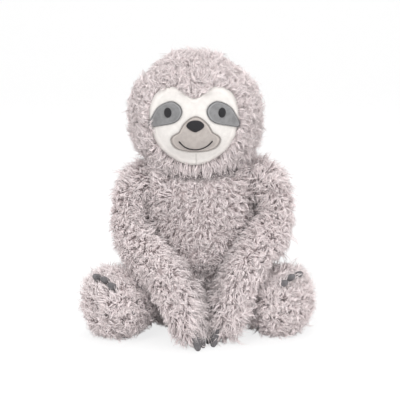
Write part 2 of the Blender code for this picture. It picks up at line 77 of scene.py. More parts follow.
# Height, half width and half depth of each ring, then its backset and its lean.
BODY_RING_SHARES = (
    (1.00, 0.00, 0.00, -0.6, 1.0),
    (0.96, 0.48, 0.46, -0.6, 1.0),
    (0.88, 0.78, 0.72, -0.4, 0.8),
    (0.76, 0.85, 0.80, -0.2, 0.5),
    (0.62, 0.88, 0.85, 0.0, 0.2),
    (0.46, 0.94, 0.94, 0.4, 0.0),
    (0.29, 1.00, 1.01, 0.8, 0.0),
    (0.14, 1.00, 1.00, 1.0, 0.0),
    (0.03, 0.90, 0.90, 1.0, 0.0),
    (0.00, 0.76, 0.76, 1.0, 0.0),
    (0.00, 0.38, 0.38, 1.0, 0.0),
    (0.00, 0.00, 0.00, 1.0, 0.0),
)

# Head and face places
HEAD_CENTRE = Vector((-0.0065, -0.005, 0.2165))
NECK_CENTRE = Vector((-0.005, 0.001, 0.172))
NECK_TILT = math.radians(8)
NECK_NORMAL = Vector((0, -math.sin(NECK_TILT), math.cos(NECK_TILT)))
NECK_GAP = 0.001
NECK_HIDDEN = 0.026  # the pile stops this far from the middle of the neck's seam
FACE_CENTRE = HEAD_CENTRE + Vector((0.001, 0, -0.008))
FACE_ASIDE = 0.0011  # the panel lies this much to the right of the nose
PATCH_ASIDE = {"right": 0.0013, "left": 0.0002}
MUZZLE_ASIDE = -0.0004
FACE_HALF_WIDTH = 0.043
FACE_HALF_HEIGHT = 0.039
PANEL_TOP = 0.0036  # below the outside of the head's solid
PANEL_BACK = 0.0058
PATCH_TOP = 0.0024
PATCH_BACK = 0.0038
STITCH_TOP = 0.0014
NOSE_TOP = 0.0004
THREAD_BACK = 0.0028
EYE_HALF_WIDTH = 0.0034
EYE_HALF_HEIGHT = 0.0045
OUTLINE_STEPS = 8
PILLOW_RINGS = 16

# Outlines on the face, in shares of its half width and half height. A half outline is mirrored.
FACE_HALF_SHARES = (
    (0.00, 0.680),
    (0.06, 0.69),
    (0.13, 0.75),
    (0.27, 0.86),
    (0.46, 0.94),
    (0.66, 0.92),
    (0.85, 0.77),
    (0.97, 0.50),
    (1.00, 0.25),
    (0.975, -0.02),
    (0.91, -0.30),
    (0.74, -0.61),
    (0.465, -0.87),
    (0.16, -1.00),
    (0.00, -1.01),
)
PATCH_SHARES = (
    (0.45, 0.59),
    (0.30, 0.50),
    (0.25, 0.37),
    (0.29, 0.23),
    (0.38, 0.13),
    (0.51, 0.07),
    (0.70, 0.02),
    (0.93, -0.04),
    (0.96, 0.04),
    (0.90, 0.19),
    (0.79, 0.40),
    (0.64, 0.53),
)
MUZZLE_HALF_SHARES = (
    (0.00, 0.262),
    (0.11, 0.222),
    (0.20, 0.140),
    (0.27, 0.060),
    (0.30, 0.000),
    (0.335, -0.070),
    (0.362, -0.125),
    (0.44, -0.175),
    (0.505, -0.235),
    (0.530, -0.325),
    (0.495, -0.435),
    (0.395, -0.532),
    (0.215, -0.585),
    (0.00, -0.598),
)
NOSE_HALF_SHARES = (
    (0.00, 0.176),
    (0.075, 0.168),
    (0.142, 0.132),
    (0.184, 0.068),
    (0.172, 0.008),
    (0.11, -0.048),
    (0.035, -0.088),
    (0.00, -0.098),
)
SMILE_SHARES = (
    (-0.330, -0.338),
    (-0.236, -0.445),
    (-0.124, -0.505),
    (0.000, -0.522),
    (0.124, -0.502),
    (0.250, -0.435),
    (0.348, -0.330),
)
FACE_MIDDLE_SHARE = (0.0, 0.0)
PATCH_MIDDLE_SHARE = (0.58, 0.28)
MUZZLE_MIDDLE_SHARE = (0.0, -0.26)
NOSE_MIDDLE_SHARE = (0.0, 0.03)
EYE_PLACE_SHARES = {"right": (0.578, 0.330), "left": (0.562, 0.330)}

# Joints
SHOULDERS = {"right": Vector((-0.056, 0, 0.149)), "left": Vector((0.057, 0, 0.150))}
HIPS = {"right": Vector((-0.054, -0.020, 0.031)), "left": Vector((0.054, -0.017, 0.031))}
SHOULDER_BALL = 0.0165
HIP_BALL = 0.0185

# Pile: shares along a strand of its rise, its reach and its width
RISE_SHARES = (0.00, 0.80, 1.00)
REACH_SHARES = (0.00, 0.40, 1.00)
WIDTH_SHARES = (0.90, 0.92)
CURL_SHARES = (0.00, 0.90, 1.10)
ALONG_SHARES = (0.0, 0.5, 1.0)
STRAND_SIDES = 3
STRANDS_A_LOCK = 4
LOCK_SPREAD = 0.0019
LOCK_CLOSING = 0.18
ROOT_DEPTH = 0.0008
FLOW_SCALE = 145.0
FLOW_STRENGTH = 1.3
FLOW_STRAY = 0.33
SCATTER_TRIES = 4
SPOT_WIDTH = 0.004
FACE_FRINGE = 0.0075
SHOULDER_FUR_FLOOR = 0.131  # from here up the pile of the arms and the body bushes out
SHOULDER_FUR_FULL = 0.145
SHOULDER_FUR_IN = 0.024
SHOULDER_FUR_OUT = 0.036
CHIN_TOP = 0.184  # below this the pile at the front of the head hangs over the chest
CHIN_BACK = -0.012
CHIN_SWELL = 0.0072  # the skin of the chin stands out this far
CHIN_SWELL_TOP = 0.1775
CHIN_SWELL_FULL = 0.169
COLLAR_DROP = 0.0165  # so far below the neck's seam the pile of the body is short and painted darker, as shade under the chin
COLLAR_FADE = 0.006
# Low on the front of the belly, where the forearms meet, the pile is shorter and shade is painted darker into the
# pile and the backing.
LAP_BOTTOM = 0.032
LAP_TOP = 0.072
LAP_FADE = 0.018
LAP_MIDDLE = 0.004
LAP_HALF_WIDTH = 0.007
CHEEK_TOP = 0.198
CHEEK_OUT = 0.036
CROWN_FLOOR = 0.246
CROWN_OUT = 0.022
# From here out the front of the belly is painted darker, as shade beside the arms.
BELLY_SIDE = 0.040
BELLY_SIDE_FADE = 0.014
FOOT_FUR_FLOOR = 0.032
FOOT_FUR_FULL = 0.048
FOOT_FUR_SIDE = 0.073
FOOT_FUR_SIDE_FULL = 0.087
HAND_FUR_TOP = 0.075
HAND_FUR_INNER = 0.018
HAND_FUR_OUTER = 0.024
HANDS_MEET = 0.003
# Low where the hands meet, the pile is shorter and painted darker as shade.
BETWEEN_HANDS = 0.008
BETWEEN_HANDS_TOP = 0.040
ELBOW_TOP = 0.100
ELBOW_OUT = 0.068
STRAY_SHARE = 0.10  # so many locks stand higher than the rest
STRAY_RISE = 0.38

# Felt claws
CLAW_HALF_WIDTHS = {"foot": 0.0037, "hand": 0.0040}
CLAW_HALF_THICKNESS = 0.0034
CLAW_ROOT = 0.0050
CLAW_SHORTENING = {"foot": 0.0014, "hand": 0.0}
CLAW_FUR = {"foot": 0.0125, "hand": 0.0095}  # within this distance the pile leans over a claw
CLAW_SEGMENTS = 20
CLAW_RINGS = 14

# Camera, which looks a little down on the toy from in front
CAMERA_TARGET = Vector((-0.001, 0, 0.1255))
CAMERA_DISTANCE = 1.4
CAMERA_ELEVATION = math.radians(12)
CAMERA_LENS = 126
CAMERA_SENSOR = 36
FLOOR_HALF = 2.5
BACKDROP_HEIGHT = 2.5


class PlushSizes(bpy.types.PropertyGroup):
    pile_rise: FloatProperty(
        name="Pile rise", description="How far the pile stands off the skin",
        default=0.0072, unit="LENGTH",
    )
    pile_reach: FloatProperty(
        name="Pile reach", description="How far a lock leans along the skin",
        default=0.0080, unit="LENGTH",
    )
    pile_curl: FloatProperty(
        name="Pile curl", description="How far a lock curls to its sides",
        default=0.0018, unit="LENGTH",
    )
    strand_width: FloatProperty(
        name="Strand width", description="Breadth of one tuft of fibres near its root",
        default=0.00076, unit="LENGTH",
    )
    strands: IntProperty(
        name="Strands a piece", description="Strands in each piece of pile", default=19000,
    )
    stitch_radius: FloatProperty(
        name="Stitch radius", description="Half the thickness of the sewing thread",
        default=0.00020, unit="LENGTH",
    )
    stitch_length: FloatProperty(
        name="Stitch length", description="Length of one stitch round a patch",
        default=0.0017, unit="LENGTH",
    )
    stitch_gap: FloatProperty(
        name="Stitch spacing", description="From one stitch to the next",
        default=0.00062, unit="LENGTH",
    )


def colour(name, description, value):
    return FloatVectorProperty(
        name=name, description=description, subtype="COLOR", size=3, min=0, max=1, default=value
    )


class PlushColours(bpy.types.PropertyGroup):
    pile_tip: colour("Pile tips", "Tips of the lightest locks", (0.99, 0.905, 0.90))
    pile_middle: colour("Pile", "Middle of the locks", (0.95, 0.86, 0.86))
    # The roots are darker, as painted shade deep in the pile.
    pile_root: colour("Pile roots", "Roots of the locks", (0.87, 0.775, 0.775))
    skin: colour("Backing", "Knitted backing under the pile", (0.79, 0.70, 0.70))
    face: colour("Face", "Short pile of the face", (0.672, 0.645, 0.619))
    eye_patch: colour("Eye patches", "Short pile round the eyes", (0.215, 0.215, 0.218))
    muzzle: colour("Muzzle", "Short pile of the muzzle", (0.405, 0.367, 0.344))
    thread: colour("Thread", "Eyes, nose and mouth", (0.012, 0.012, 0.014))
    claw: colour("Claws", "Felt of the claws", (0.125, 0.12, 0.125))
    filling: colour("Filling", "Loose fibre inside", (0.86, 0.86, 0.85))
    bag: colour("Pellet bag", "Cloth of the pellet bag", (0.70, 0.67, 0.61))
    floor: colour("Floor", "Floor and backdrop", (0.94, 0.94, 0.94))


class Term:
    """A value in a material. Python's own signs add the Math nodes."""

    def __init__(self, finish, socket):
        self.finish = finish
        self.socket = socket

    def maths(self, operation, *values):
        return self.finish.node(
            "ShaderNodeMath", {"operation": operation}, dict(enumerate(values))
        )

    def __add__(self, other):
        return self.maths("ADD", self, other)

    def __radd__(self, other):
        return self.maths("ADD", other, self)

    def __sub__(self, other):
        return self.maths("SUBTRACT", self, other)

    def __rsub__(self, other):
        return self.maths("SUBTRACT", other, self)

    def __mul__(self, other):
        return self.maths("MULTIPLY", self, other)

    def __rmul__(self, other):
        return self.maths("MULTIPLY", other, self)

    def __truediv__(self, other):
        return self.maths("DIVIDE", self, other)

    def __pow__(self, other):
        return self.maths("POWER", self, other)

    def __abs__(self):
        return self.maths("ABSOLUTE", self)

    def fade(self, low, high):
        """From 0 at low to 1 at high, smoothly."""
        return self.finish.node(
            "ShaderNodeMapRange",
            {"interpolation_type": "SMOOTHSTEP"},
            {"Value": self, "From Min": low, "From Max": high},
        )


class Finish:
    """A material that is put together node by node."""

    def __init__(self, name, roughness, sheen=0.0):
        self.material = bpy.data.materials.new(name)
        self.material.use_nodes = True
        self.tree = self.material.node_tree
        self.surface = self.tree.nodes["Principled BSDF"]
        self.surface.inputs["Roughness"].default_value = roughness
        self.surface.inputs["Sheen Weight"].default_value = sheen
        self.surface.inputs["Sheen Tint"].default_value = (1, 0.9, 0.89, 1)
        self.surface.inputs["Specular IOR Level"].default_value = 0.2

    def node(self, kind, settings, sockets, output=0):
        made = self.tree.nodes.new(kind)
        for key, value in settings.items():
            if key == "stops":
                stops = made.color_ramp.elements
                while len(stops) < len(value):
                    stops.new(1)
                for stop, (place, shade) in zip(stops, value):
                    stop.position = place
                    stop.color = (*shade, 1)
            else:
                setattr(made, key, value)
        for key, value in sockets.items():
            self.feed(made.inputs[key], value)
        return Term(self, made.outputs[output])

    def feed(self, socket, value):
        if isinstance(value, Term):
            self.tree.links.new(value.socket, socket)
        else:
            socket.default_value = value

    def noise(self, scale, detail=2.0, where=None):
        place = where or self.places()
        return self.node(
            "ShaderNodeTexNoise", {}, {"Vector": place, "Scale": scale, "Detail": detail}
        )

    def places(self):
        return self.node("ShaderNodeTexCoord", {}, {}, "Object")

    def parts_of(self, vector):
        return [
            self.node("ShaderNodeSeparateXYZ", {}, {"Vector": vector}, axis) for axis in range(3)
        ]

    def mix(self, factor, first, second):
        blended = {"data_type": "RGBA"}
        return self.node("ShaderNodeMix", blended, {0: factor, 6: first, 7: second}, 2)

    def shade(self, value):
        self.feed(self.surface.inputs["Base Color"], value)

    def rough(self, value):
        self.feed(self.surface.inputs["Roughness"], value)

    def bump(self, height, distance, strength=1.0):
        raised = self.node(
            "ShaderNodeBump", {}, {"Height": height, "Distance": distance, "Strength": strength}
        )
        self.feed(self.surface.inputs["Normal"], raised)


def rgba(value, strength=1.0):
    return tuple(strength * part for part in value) + (1.0,)


def scaled(value, strength):
    return tuple(strength * part for part in value)


def pile_finish(colours):
    """Strands that are dark at the root and light at the tip, a painted shade deep in the pile. Each has its own
    tone, which varies at random and is lowered as painted shade in creases.
    """
    finish = Finish("pile_fibre", 0.8, 0.7)
    spot = finish.node("ShaderNodeUVMap", {"uv_map": PILE_MAP}, {})
    tone, along, unused = finish.parts_of(spot)
    root, middle, tip = (tuple(c) for c in (colours.pile_root, colours.pile_middle, colours.pile_tip))
    ramps = []
    # The darker copy of the colours takes each strand's random tone and the shade painted into creases.
    for strength in (0.50, 1.0):
        stops = [
            (0.00, scaled(root, strength)),
            (0.42, scaled(middle, strength)),
            (0.95, scaled(tip, strength)),
        ]
        ramps.append(finish.node("ShaderNodeValToRGB", {"stops": stops}, {"Fac": along}))
    finish.shade(finish.mix(tone, *ramps))
    return finish.material


def skin_finish(colours):
    """Knit, with shade painted darker into the crease under the head and low on the front of the belly, where the
    forearms meet.
    """
    finish = Finish("knitted_backing", 0.95)
    knit = finish.noise(900.0, 3.0)
    patches = finish.noise(60.0)
    x, y, z = finish.parts_of(finish.places())
    level = z * NECK_NORMAL.z + y * NECK_NORMAL.y - NECK_CENTRE.dot(NECK_NORMAL)
    # Painted shade: the backing is darker in the crease just below the neck's seam.
    fold_painted_shade = level.fade(-COLLAR_DROP, -COLLAR_DROP / 2) * (1 - level.fade(0.003, 0.010))
    shade = finish.mix(patches, rgba(colours.skin, 0.8), rgba(colours.skin, 1.3))
    shade = finish.mix(knit * 0.5, shade, rgba(colours.skin, 0.6))
    # Painted shade: the backing is darker low on the front of the belly, where the forearms meet.
    lap_painted_shade = 1 - z.fade(LAP_TOP - LAP_FADE / 2, LAP_TOP + LAP_FADE / 2)
    lap_painted_shade = lap_painted_shade * (1 - abs(x - LAP_MIDDLE).fade(LAP_HALF_WIDTH, LAP_HALF_WIDTH + LAP_FADE))
    lap_painted_shade = lap_painted_shade * (1 - y.fade(-0.03, -0.01))
    finish.shade(finish.mix(fold_painted_shade + lap_painted_shade * 0.6, shade, rgba(colours.skin, 0.28)))
    finish.bump(knit, 0.0006)
    return finish.material


def short_pile_finish(name, value, mottle, seam=None):
    """Velvety cloth: fine fuzz, strokes where the pile lies over, a turned rim with painted shade along its very
    edge, and maybe a seam.
    """
    finish = Finish(name, 0.9, 0.3)
    place = finish.places()
    fuzz = finish.noise(2600.0, 3.0, place)
    strokes = finish.noise(260.0, 4.0, place)
    patches = finish.noise(55.0, 2.0, place)
    light = strokes.fade(0.35, 0.65) * 0.6 + patches.fade(0.35, 0.65) * 0.4
    shade = finish.mix(light, rgba(value, 1 - mottle), rgba(value, 1 + mottle / 3))
    shade = finish.mix(fuzz.fade(0.48, 0.30) * 3 * mottle, shade, rgba(value, 0.72))
    rim = finish.node("ShaderNodeAttribute", {"attribute_name": RIM_NAME}, {}, "Fac")
    welt = rim.fade(0.84, 0.88) * (1 - rim.fade(0.92, 0.96))
    shade = finish.mix(welt * 2.5 * mottle, shade, rgba(value, 1.5))
    # Painted shade: the cloth is darker along its very edge.
    shade = finish.mix(rim.fade(0.94, 0.99) * 0.35, shade, rgba(value, 0.6))
    height = fuzz * 0.7 + strokes * 0.5 + welt * 0.8
    if seam:
        along_x, along_y, along_z = finish.parts_of(place)
        line = 1 - abs(along_x - seam[0]).fade(0.0002, 0.0011)
        line = line * along_z.fade(seam[1], seam[1] + 0.001)
        line = line * (1 - along_z.fade(seam[2] - 0.002, seam[2]))
        shade = finish.mix(line * 0.28, shade, rgba(value, 0.45))
        height = height - line * 1.0
    finish.shade(shade)
    finish.rough(0.84 + fuzz * 0.14)
    finish.bump(height, 0.00035, 0.8)
    return finish.material


def thread_finish(name, value, across):
    """Satin thread: fine parallel strands with a slight gloss."""
    finish = Finish(name, 0.5, 0.2)
    place = finish.places()
    x, y, z = finish.parts_of(place)
    way = x if across else z
    rows = finish.node("ShaderNodeMath", {"operation": "SINE"}, {0: way * 9000.0})
    wander = finish.noise(400.0, 2.0, place)
    light = rows * 0.25 + wander * 0.6
    finish.shade(finish.mix(light, rgba(value, 0.75), rgba(value, 1.6)))
    finish.rough(0.42 + wander * 0.25)
    finish.bump(rows * 0.5 + wander, 0.00012)
    return finish.material


def felt_finish(value):
    finish = Finish("claw_felt", 0.95, 0.2)
    place = finish.places()
    fibres = finish.noise(1500.0, 4.0, place)
    patches = finish.noise(240.0, 3.0, place)
    shade = finish.mix(patches.fade(0.3, 0.7), rgba(value, 0.82), rgba(value, 1.25))
    finish.shade(finish.mix(fibres.fade(0.52, 0.72) * 0.5, shade, rgba(value, 1.8)))
    finish.rough(0.88 + fibres * 0.1)
    finish.bump(fibres + patches * 0.8, 0.0006)
    return finish.material


def fibre_finish(value):
    finish = Finish("loose_fibre", 0.95)
    place = finish.places()
    strands = finish.noise(420.0, 6.0, place)
    tufts = finish.noise(70.0, 3.0, place)
    finish.shade(finish.mix(strands.fade(0.3, 0.7), rgba(value, 0.78), rgba(value, 1.05)))
    finish.bump(strands + tufts * 2, 0.0015)
    return finish.material


def weave_finish(value):
    finish = Finish("bag_weave", 0.85)
    place = finish.places()
    x, y, z = finish.parts_of(place)
    warp = finish.node("ShaderNodeMath", {"operation": "SINE"}, {0: x * 5200.0})
    weft = finish.node("ShaderNodeMath", {"operation": "SINE"}, {0: (y + z) * 5200.0})
    cross = warp * weft
    slub = finish.noise(300.0, 3.0, place)
    light = cross * 0.3 + slub
    finish.shade(finish.mix(light, rgba(value, 0.75), rgba(value, 1.1)))
    finish.bump(cross + slub, 0.0003)
    return finish.material


def start_clean():
    active = bpy.context.view_layer.objects.active
    if active and active.mode != "OBJECT":
        bpy.ops.object.mode_set(mode="OBJECT")
    bpy.ops.object.select_all(action="DESELECT")


def pick(piece):
    start_clean()
    piece.select_set(True)
    bpy.context.view_layer.objects.active = piece
    return piece


def apply_all(piece):
    pick(piece)
    for modifier in list(piece.modifiers):
        bpy.ops.object.modifier_apply(modifier=modifier.name)
    return piece


def finish_with(piece, material):
    piece.data.materials.clear()
    piece.data.materials.append(material)
    return piece


def new_sphere(name, segments, rings):
    start_clean()
    bpy.ops.mesh.primitive_uv_sphere_add(segments=segments, ring_count=rings, radius=1)
    piece = bpy.context.object
    piece.name = name
    piece.data.name = name
    return piece


def copied_mesh(name, node):
    """A new object with a welded copy of a solid's mesh."""
    piece = bpy.data.objects.new(name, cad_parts[node].data.copy())
    bpy.context.scene.collection.objects.link(piece)
    pick(piece)
    bpy.ops.object.mode_set(mode="EDIT")
    bpy.ops.mesh.select_all(action="SELECT")
    bpy.ops.mesh.remove_doubles(threshold=WELD)
    bpy.ops.object.mode_set(mode="OBJECT")
    return piece


def put_in_order(piece):
    """Number a remeshed skin by place, as each run of the remesher numbers it in its own way."""
    mesh = piece.data
    corners = np.empty(len(mesh.vertices) * 3, np.float32)
    mesh.vertices.foreach_get("co", corners)
    corners = corners.reshape(-1, 3)
    order = np.lexsort(corners.T)
    numbers = np.empty(len(order), int)
    numbers[order] = np.arange(len(order))
    faces = []
    for polygon in mesh.polygons:
        face = [int(numbers[corner]) for corner in polygon.vertices]
        first = face.index(min(face))
        faces.append(face[first:] + face[:first])
    faces.sort()
    mesh.clear_geometry()
    mesh.from_pydata(corners[order].tolist(), [], faces)
    mesh.polygons.foreach_set("use_smooth", np.ones(len(faces), bool))
    mesh.update()
    return piece


def limb_skin(name, node, growth):
    """A skin from a stuffed solid, evened out and then grown or drawn in."""
    piece = copied_mesh(name, node)
    even = piece.modifiers.new("even", "REMESH")
    even.mode = "VOXEL"
    even.voxel_size = SKIN_VOXEL
    put_in_order(apply_all(piece))
    relax = piece.modifiers.new("relax", "SMOOTH")
    relax.iterations = SMOOTHING_ROUNDS
    offset = piece.modifiers.new("offset", "DISPLACE")
    offset.strength = growth
    offset.mid_level = 0
    again = piece.modifiers.new("relax_again", "SMOOTH")
    again.iterations = SMOOTHING_ROUNDS
    return apply_all(piece)


def ramp(value, low, high):
    """From 0 at low to 1 at high, smoothly. The value may be an array."""
    share = np.clip((value - low) / (high - low), 0, 1)
    return share * share * (3 - 2 * share)


def swell_chin(piece):
    """Fill out the skin below the face, where the head hangs over the chest."""
    normals = [normal.vector.copy() for normal in piece.data.vertex_normals]
    for vertex, normal in zip(piece.data.vertices, normals):
        below = ramp(-vertex.co.z, -CHIN_SWELL_TOP, -CHIN_SWELL_FULL)
        ahead = ramp(-vertex.co.y, 0, -2 * CHIN_BACK)
        vertex.co += float(CHIN_SWELL * below * ahead) * normal
    return piece


def body_skin(name):
    piece = new_sphere(name, BODY_SIDES, len(BODY_RING_SHARES) - 1)
    swell = 1 / math.cos(math.pi / BODY_SIDES)
    low = BODY_FLOOR + SKIN_DEPTH
    rise = BODY_HEIGHT - SKIN_DEPTH - low
    steps = len(BODY_RING_SHARES) - 1
    for vertex in piece.data.vertices:
        fall = math.acos(max(-1.0, min(1.0, vertex.co.z)))
        height, width, depth, backset, lean = BODY_RING_SHARES[round(fall * steps / math.pi)]
        turn = math.atan2(vertex.co.y, vertex.co.x)
        half_width = max(0, width * BODY_HALF_WIDTH - SKIN_DEPTH * bool(width)) * swell
        half_depth = max(0, depth * BODY_HALF_DEPTH - SKIN_DEPTH * bool(width)) * swell
        vertex.co.x = lean * BODY_LEAN + half_width * math.cos(turn)
        vertex.co.y = backset * BODY_BACKSET + half_depth * math.sin(turn)
        vertex.co.z = low + height * rise
    rounding = piece.modifiers.new("rounding", "SUBSURF")
    rounding.levels = 3
    rounding.render_levels = 3
    apply_all(piece)
    for vertex in piece.data.vertices:
        proud = (vertex.co - NECK_CENTRE).dot(NECK_NORMAL) + NECK_GAP
        vertex.co -= max(0, proud) * NECK_NORMAL
    bpy.ops.object.shade_smooth()
    return piece


def surface_of(piece):
    """A skin's corners, smooth normals and triangles as arrays."""
    mesh = piece.data
    mesh.calc_loop_triangles()
    corners = np.empty(len(mesh.vertices) * 3, np.float32)
    mesh.vertices.foreach_get("co", corners)
    normals = np.empty(len(mesh.vertices) * 3, np.float32)
    mesh.vertex_normals.foreach_get("vector", normals)
    triangles = np.empty(len(mesh.loop_triangles) * 3, np.int32)
    mesh.loop_triangles.foreach_get("vertices", triangles)
    return corners.reshape(-1, 3).astype(float), normals.reshape(-1, 3).astype(float), triangles.reshape(-1, 3)


def unit(vectors):
    return vectors / np.maximum(np.linalg.norm(vectors, axis=-1, keepdims=True), 1e-9)


def scatter(piece, wanted, keep, chance):
    """Evenly spread places on a skin, with their normals, where keep says so."""
    corners, normals, triangles = surface_of(piece)
    a, b, c = (corners[triangles[:, k]] for k in range(3))
    areas = np.linalg.norm(np.cross(b - a, c - a), axis=1) / 2
    kept = keep((a + b + c) / 3)
    areas = areas * kept
    count = wanted * SCATTER_TRIES
    chosen = chance.choice(len(areas), count, p=areas / areas.sum())
    first = chance.random(count)
    second = chance.random(count)
    over = first + second > 1
    first[over] = 1 - first[over]
    second[over] = 1 - second[over]
    third = 1 - first - second
    mixed = [first[:, None], second[:, None], third[:, None]]
    places = sum(m * corners[triangles[chosen, k]] for k, m in enumerate(mixed))
    ups = unit(sum(m * normals[triangles[chosen, k]] for k, m in enumerate(mixed)))
    spacing = math.sqrt(areas.sum() / wanted) * 0.72
    cells = {}
    picked = []
    for number, place in enumerate(places):
        key = tuple((place // spacing).astype(int))
        near = False
        for dx in (-1, 0, 1):
            for dy in (-1, 0, 1):
                for dz in (-1, 0, 1):
                    for other in cells.get((key[0] + dx, key[1] + dy, key[2] + dz), ()):
                        gap = places[other] - place
                        near = near or gap @ gap < spacing * spacing
        if not near:
            cells.setdefault(key, []).append(number)
            picked.append(number)
            if len(picked) == wanted:
                break
    return places[picked], ups[picked]


def flow_at(places):
    return np.array([list(noise.noise_vector(Vector(place) * FLOW_SCALE)) for place in places])


def pile(name, skin, sizes, keep, style, seed):
    """Curly locks on a skin: each lock's strands start apart and close up towards its tip."""
    chance = np.random.default_rng(seed)
    locks = sizes.strands // STRANDS_A_LOCK
    places, ups = scatter(skin, locks, keep, chance)
    locks = len(places)
    rises, reaches, comb, tone = style(places, ups)
    flow = flow_at(places) * FLOW_STRENGTH + comb + chance.normal(0, FLOW_STRAY, (locks, 3))
    flow -= (flow * ups).sum(1, keepdims=True) * ups
    flow = unit(flow)
    side = np.cross(ups, flow)
    rise = sizes.pile_rise * rises * chance.normal(1, 0.16, locks)
    rise *= 1 + STRAY_RISE * (chance.random(locks) < STRAY_SHARE)
    reach = sizes.pile_reach * reaches * chance.normal(1, 0.2, locks)
    start = chance.random(locks) * math.tau
    turn = chance.choice((-1, 1), locks) * chance.uniform(1.5, 4.2, locks)
    size = len(RISE_SHARES)
    lines = np.empty((locks, size, 3))
    for step in range(size):
        curl = sizes.pile_curl * CURL_SHARES[step]
        angle = start + turn * ALONG_SHARES[step]
        across = curl * np.cos(angle)[:, None] * side
        lift = 0.6 * curl * np.sin(angle)[:, None] * ups
        out = (rise * RISE_SHARES[step] - ROOT_DEPTH * (step == 0))[:, None] * ups
        ahead = (reach * REACH_SHARES[step])[:, None] * flow
        lines[:, step] = places + out + ahead + across + lift
    strands = locks * STRANDS_A_LOCK
    lines = np.repeat(lines, STRANDS_A_LOCK, axis=0)
    flows = np.repeat(flow, STRANDS_A_LOCK, axis=0)
    sides = np.repeat(side, STRANDS_A_LOCK, axis=0)
    upwards = np.repeat(ups, STRANDS_A_LOCK, axis=0)
    lock_tone = np.repeat(tone + chance.normal(0, 0.09, locks), STRANDS_A_LOCK)
    spread = LOCK_SPREAD * np.sqrt(chance.random(strands))
    heading = chance.random(strands) * math.tau
    offset = (spread * np.cos(heading))[:, None] * flows + (spread * np.sin(heading))[:, None] * sides
    shorter = chance.uniform(0.64, 1.20, strands)
    roots = lines[:, :1] + offset[:, None]
    for step, along in enumerate(ALONG_SHARES):
        wobble = chance.normal(0, 0.00042, (strands, 3)) * along
        own = lines[:, step] + offset * (1 - LOCK_CLOSING * along) + wobble
        lines[:, step] = roots[:, 0] + (own - roots[:, 0]) * shorter[:, None]
    width = sizes.strand_width / 2 * chance.uniform(0.75, 1.2, strands)
    floor = FLOOR_LIFT + width
    lines[:, :, 2] = np.maximum(lines[:, :, 2], floor[:, None])
    tones = np.clip(lock_tone + chance.normal(0, 0.24, strands), 0.02, 0.98)
    return strand_mesh(name, lines, width, upwards, tones)


def strand_mesh(name, lines, width, upwards, tones):
    """Closed three-sided strands: a cap, two walls and a point, and one spot of the map for each."""
    strands = len(lines)
    rings = len(WIDTH_SHARES)
    ring_points = np.empty((strands, rings, STRAND_SIDES, 3))
    for step in range(rings):
        before = lines[:, max(step - 1, 0)]
        ahead = unit(lines[:, step + 1] - before)
        breadth = unit(np.cross(ahead, upwards) + 1e-6)
        depth = np.cross(breadth, ahead)
        for corner in range(STRAND_SIDES):
            angle = math.tau * corner / STRAND_SIDES
            away = math.cos(angle) * breadth + math.sin(angle) * depth
            reach = width * WIDTH_SHARES[step]
            ring_points[:, step, corner] = lines[:, step] + reach[:, None] * away
    each = rings * STRAND_SIDES + 1
    corners = np.empty((strands, each, 3), np.float32)
    corners[:, :-1] = ring_points.reshape(strands, -1, 3)
    corners[:, -1] = lines[:, -1]
    corners[:, :, 2] = np.maximum(corners[:, :, 2], FLOOR_LIFT)
    faces = []
    spots = []
    shift = (-1.0, 0.0, 1.0)
    up = [place for place in ALONG_SHARES]
    faces.append((0, 1, 2))
    spots.append(((-1.0, 0.0), (0.0, 0.0), (1.0, 0.04)))
    for step in range(rings - 1):
        for corner in range(STRAND_SIDES):
            following = (corner + 1) % STRAND_SIDES
            low = step * STRAND_SIDES
            high = low + STRAND_SIDES
            left, right = shift[corner], shift[following]
            faces.append((low + corner, high + following, low + following))
            spots.append(((left, up[step]), (right, up[step + 1]), (right, up[step])))
            faces.append((low + corner, high + corner, high + following))
            spots.append(((left, up[step]), (left, up[step + 1]), (right, up[step + 1])))
    top = (rings - 1) * STRAND_SIDES
    for corner in range(STRAND_SIDES):
        following = (corner + 1) % STRAND_SIDES
        faces.append((top + corner, each - 1, top + following))
        spots.append(
            ((shift[corner], up[-2]), ((shift[corner] + shift[following]) / 2, up[-1]), (shift[following], up[-2]))
        )
    faces = np.array(faces)
    a, b, c = (corners[0][faces[:, k]].astype(float) for k in range(3))
    if (np.cross(a, b) * c).sum() < 0:
        faces = faces[:, ::-1]
        spots = [spot[::-1] for spot in spots]
    spots = np.array(spots)
    whole = (faces[None] + (np.arange(strands) * each)[:, None, None]).reshape(-1)
    mesh = bpy.data.meshes.new(name)
    mesh.vertices.add(strands * each)
    mesh.vertices.foreach_set("co", corners.reshape(-1))
    count = strands * len(faces)
    mesh.loops.add(count * 3)
    mesh.loops.foreach_set("vertex_index", whole.astype(np.int32))
    mesh.polygons.add(count)
    mesh.polygons.foreach_set("loop_start", np.arange(0, count * 3, 3, dtype=np.int32))
    mesh.polygons.foreach_set("use_smooth", np.ones(count, bool))
    layer = mesh.uv_layers.new(name=PILE_MAP)
    uv = np.empty((strands, len(faces), 3, 2), np.float32)
    uv[..., 0] = tones[:, None, None] + SPOT_WIDTH * spots[None, :, :, 0]
    uv[..., 1] = 0.02 + 0.96 * spots[None, :, :, 1]
    layer.data.foreach_set("uv", uv.reshape(-1))
    mesh.update(calc_edges=True)
    mesh.validate()
    piece = bpy.data.objects.new(name, mesh)
    bpy.context.scene.collection.objects.link(piece)
    return piece


def aside(points, distance):
    return [point - Vector((distance, 0)) for point in points]


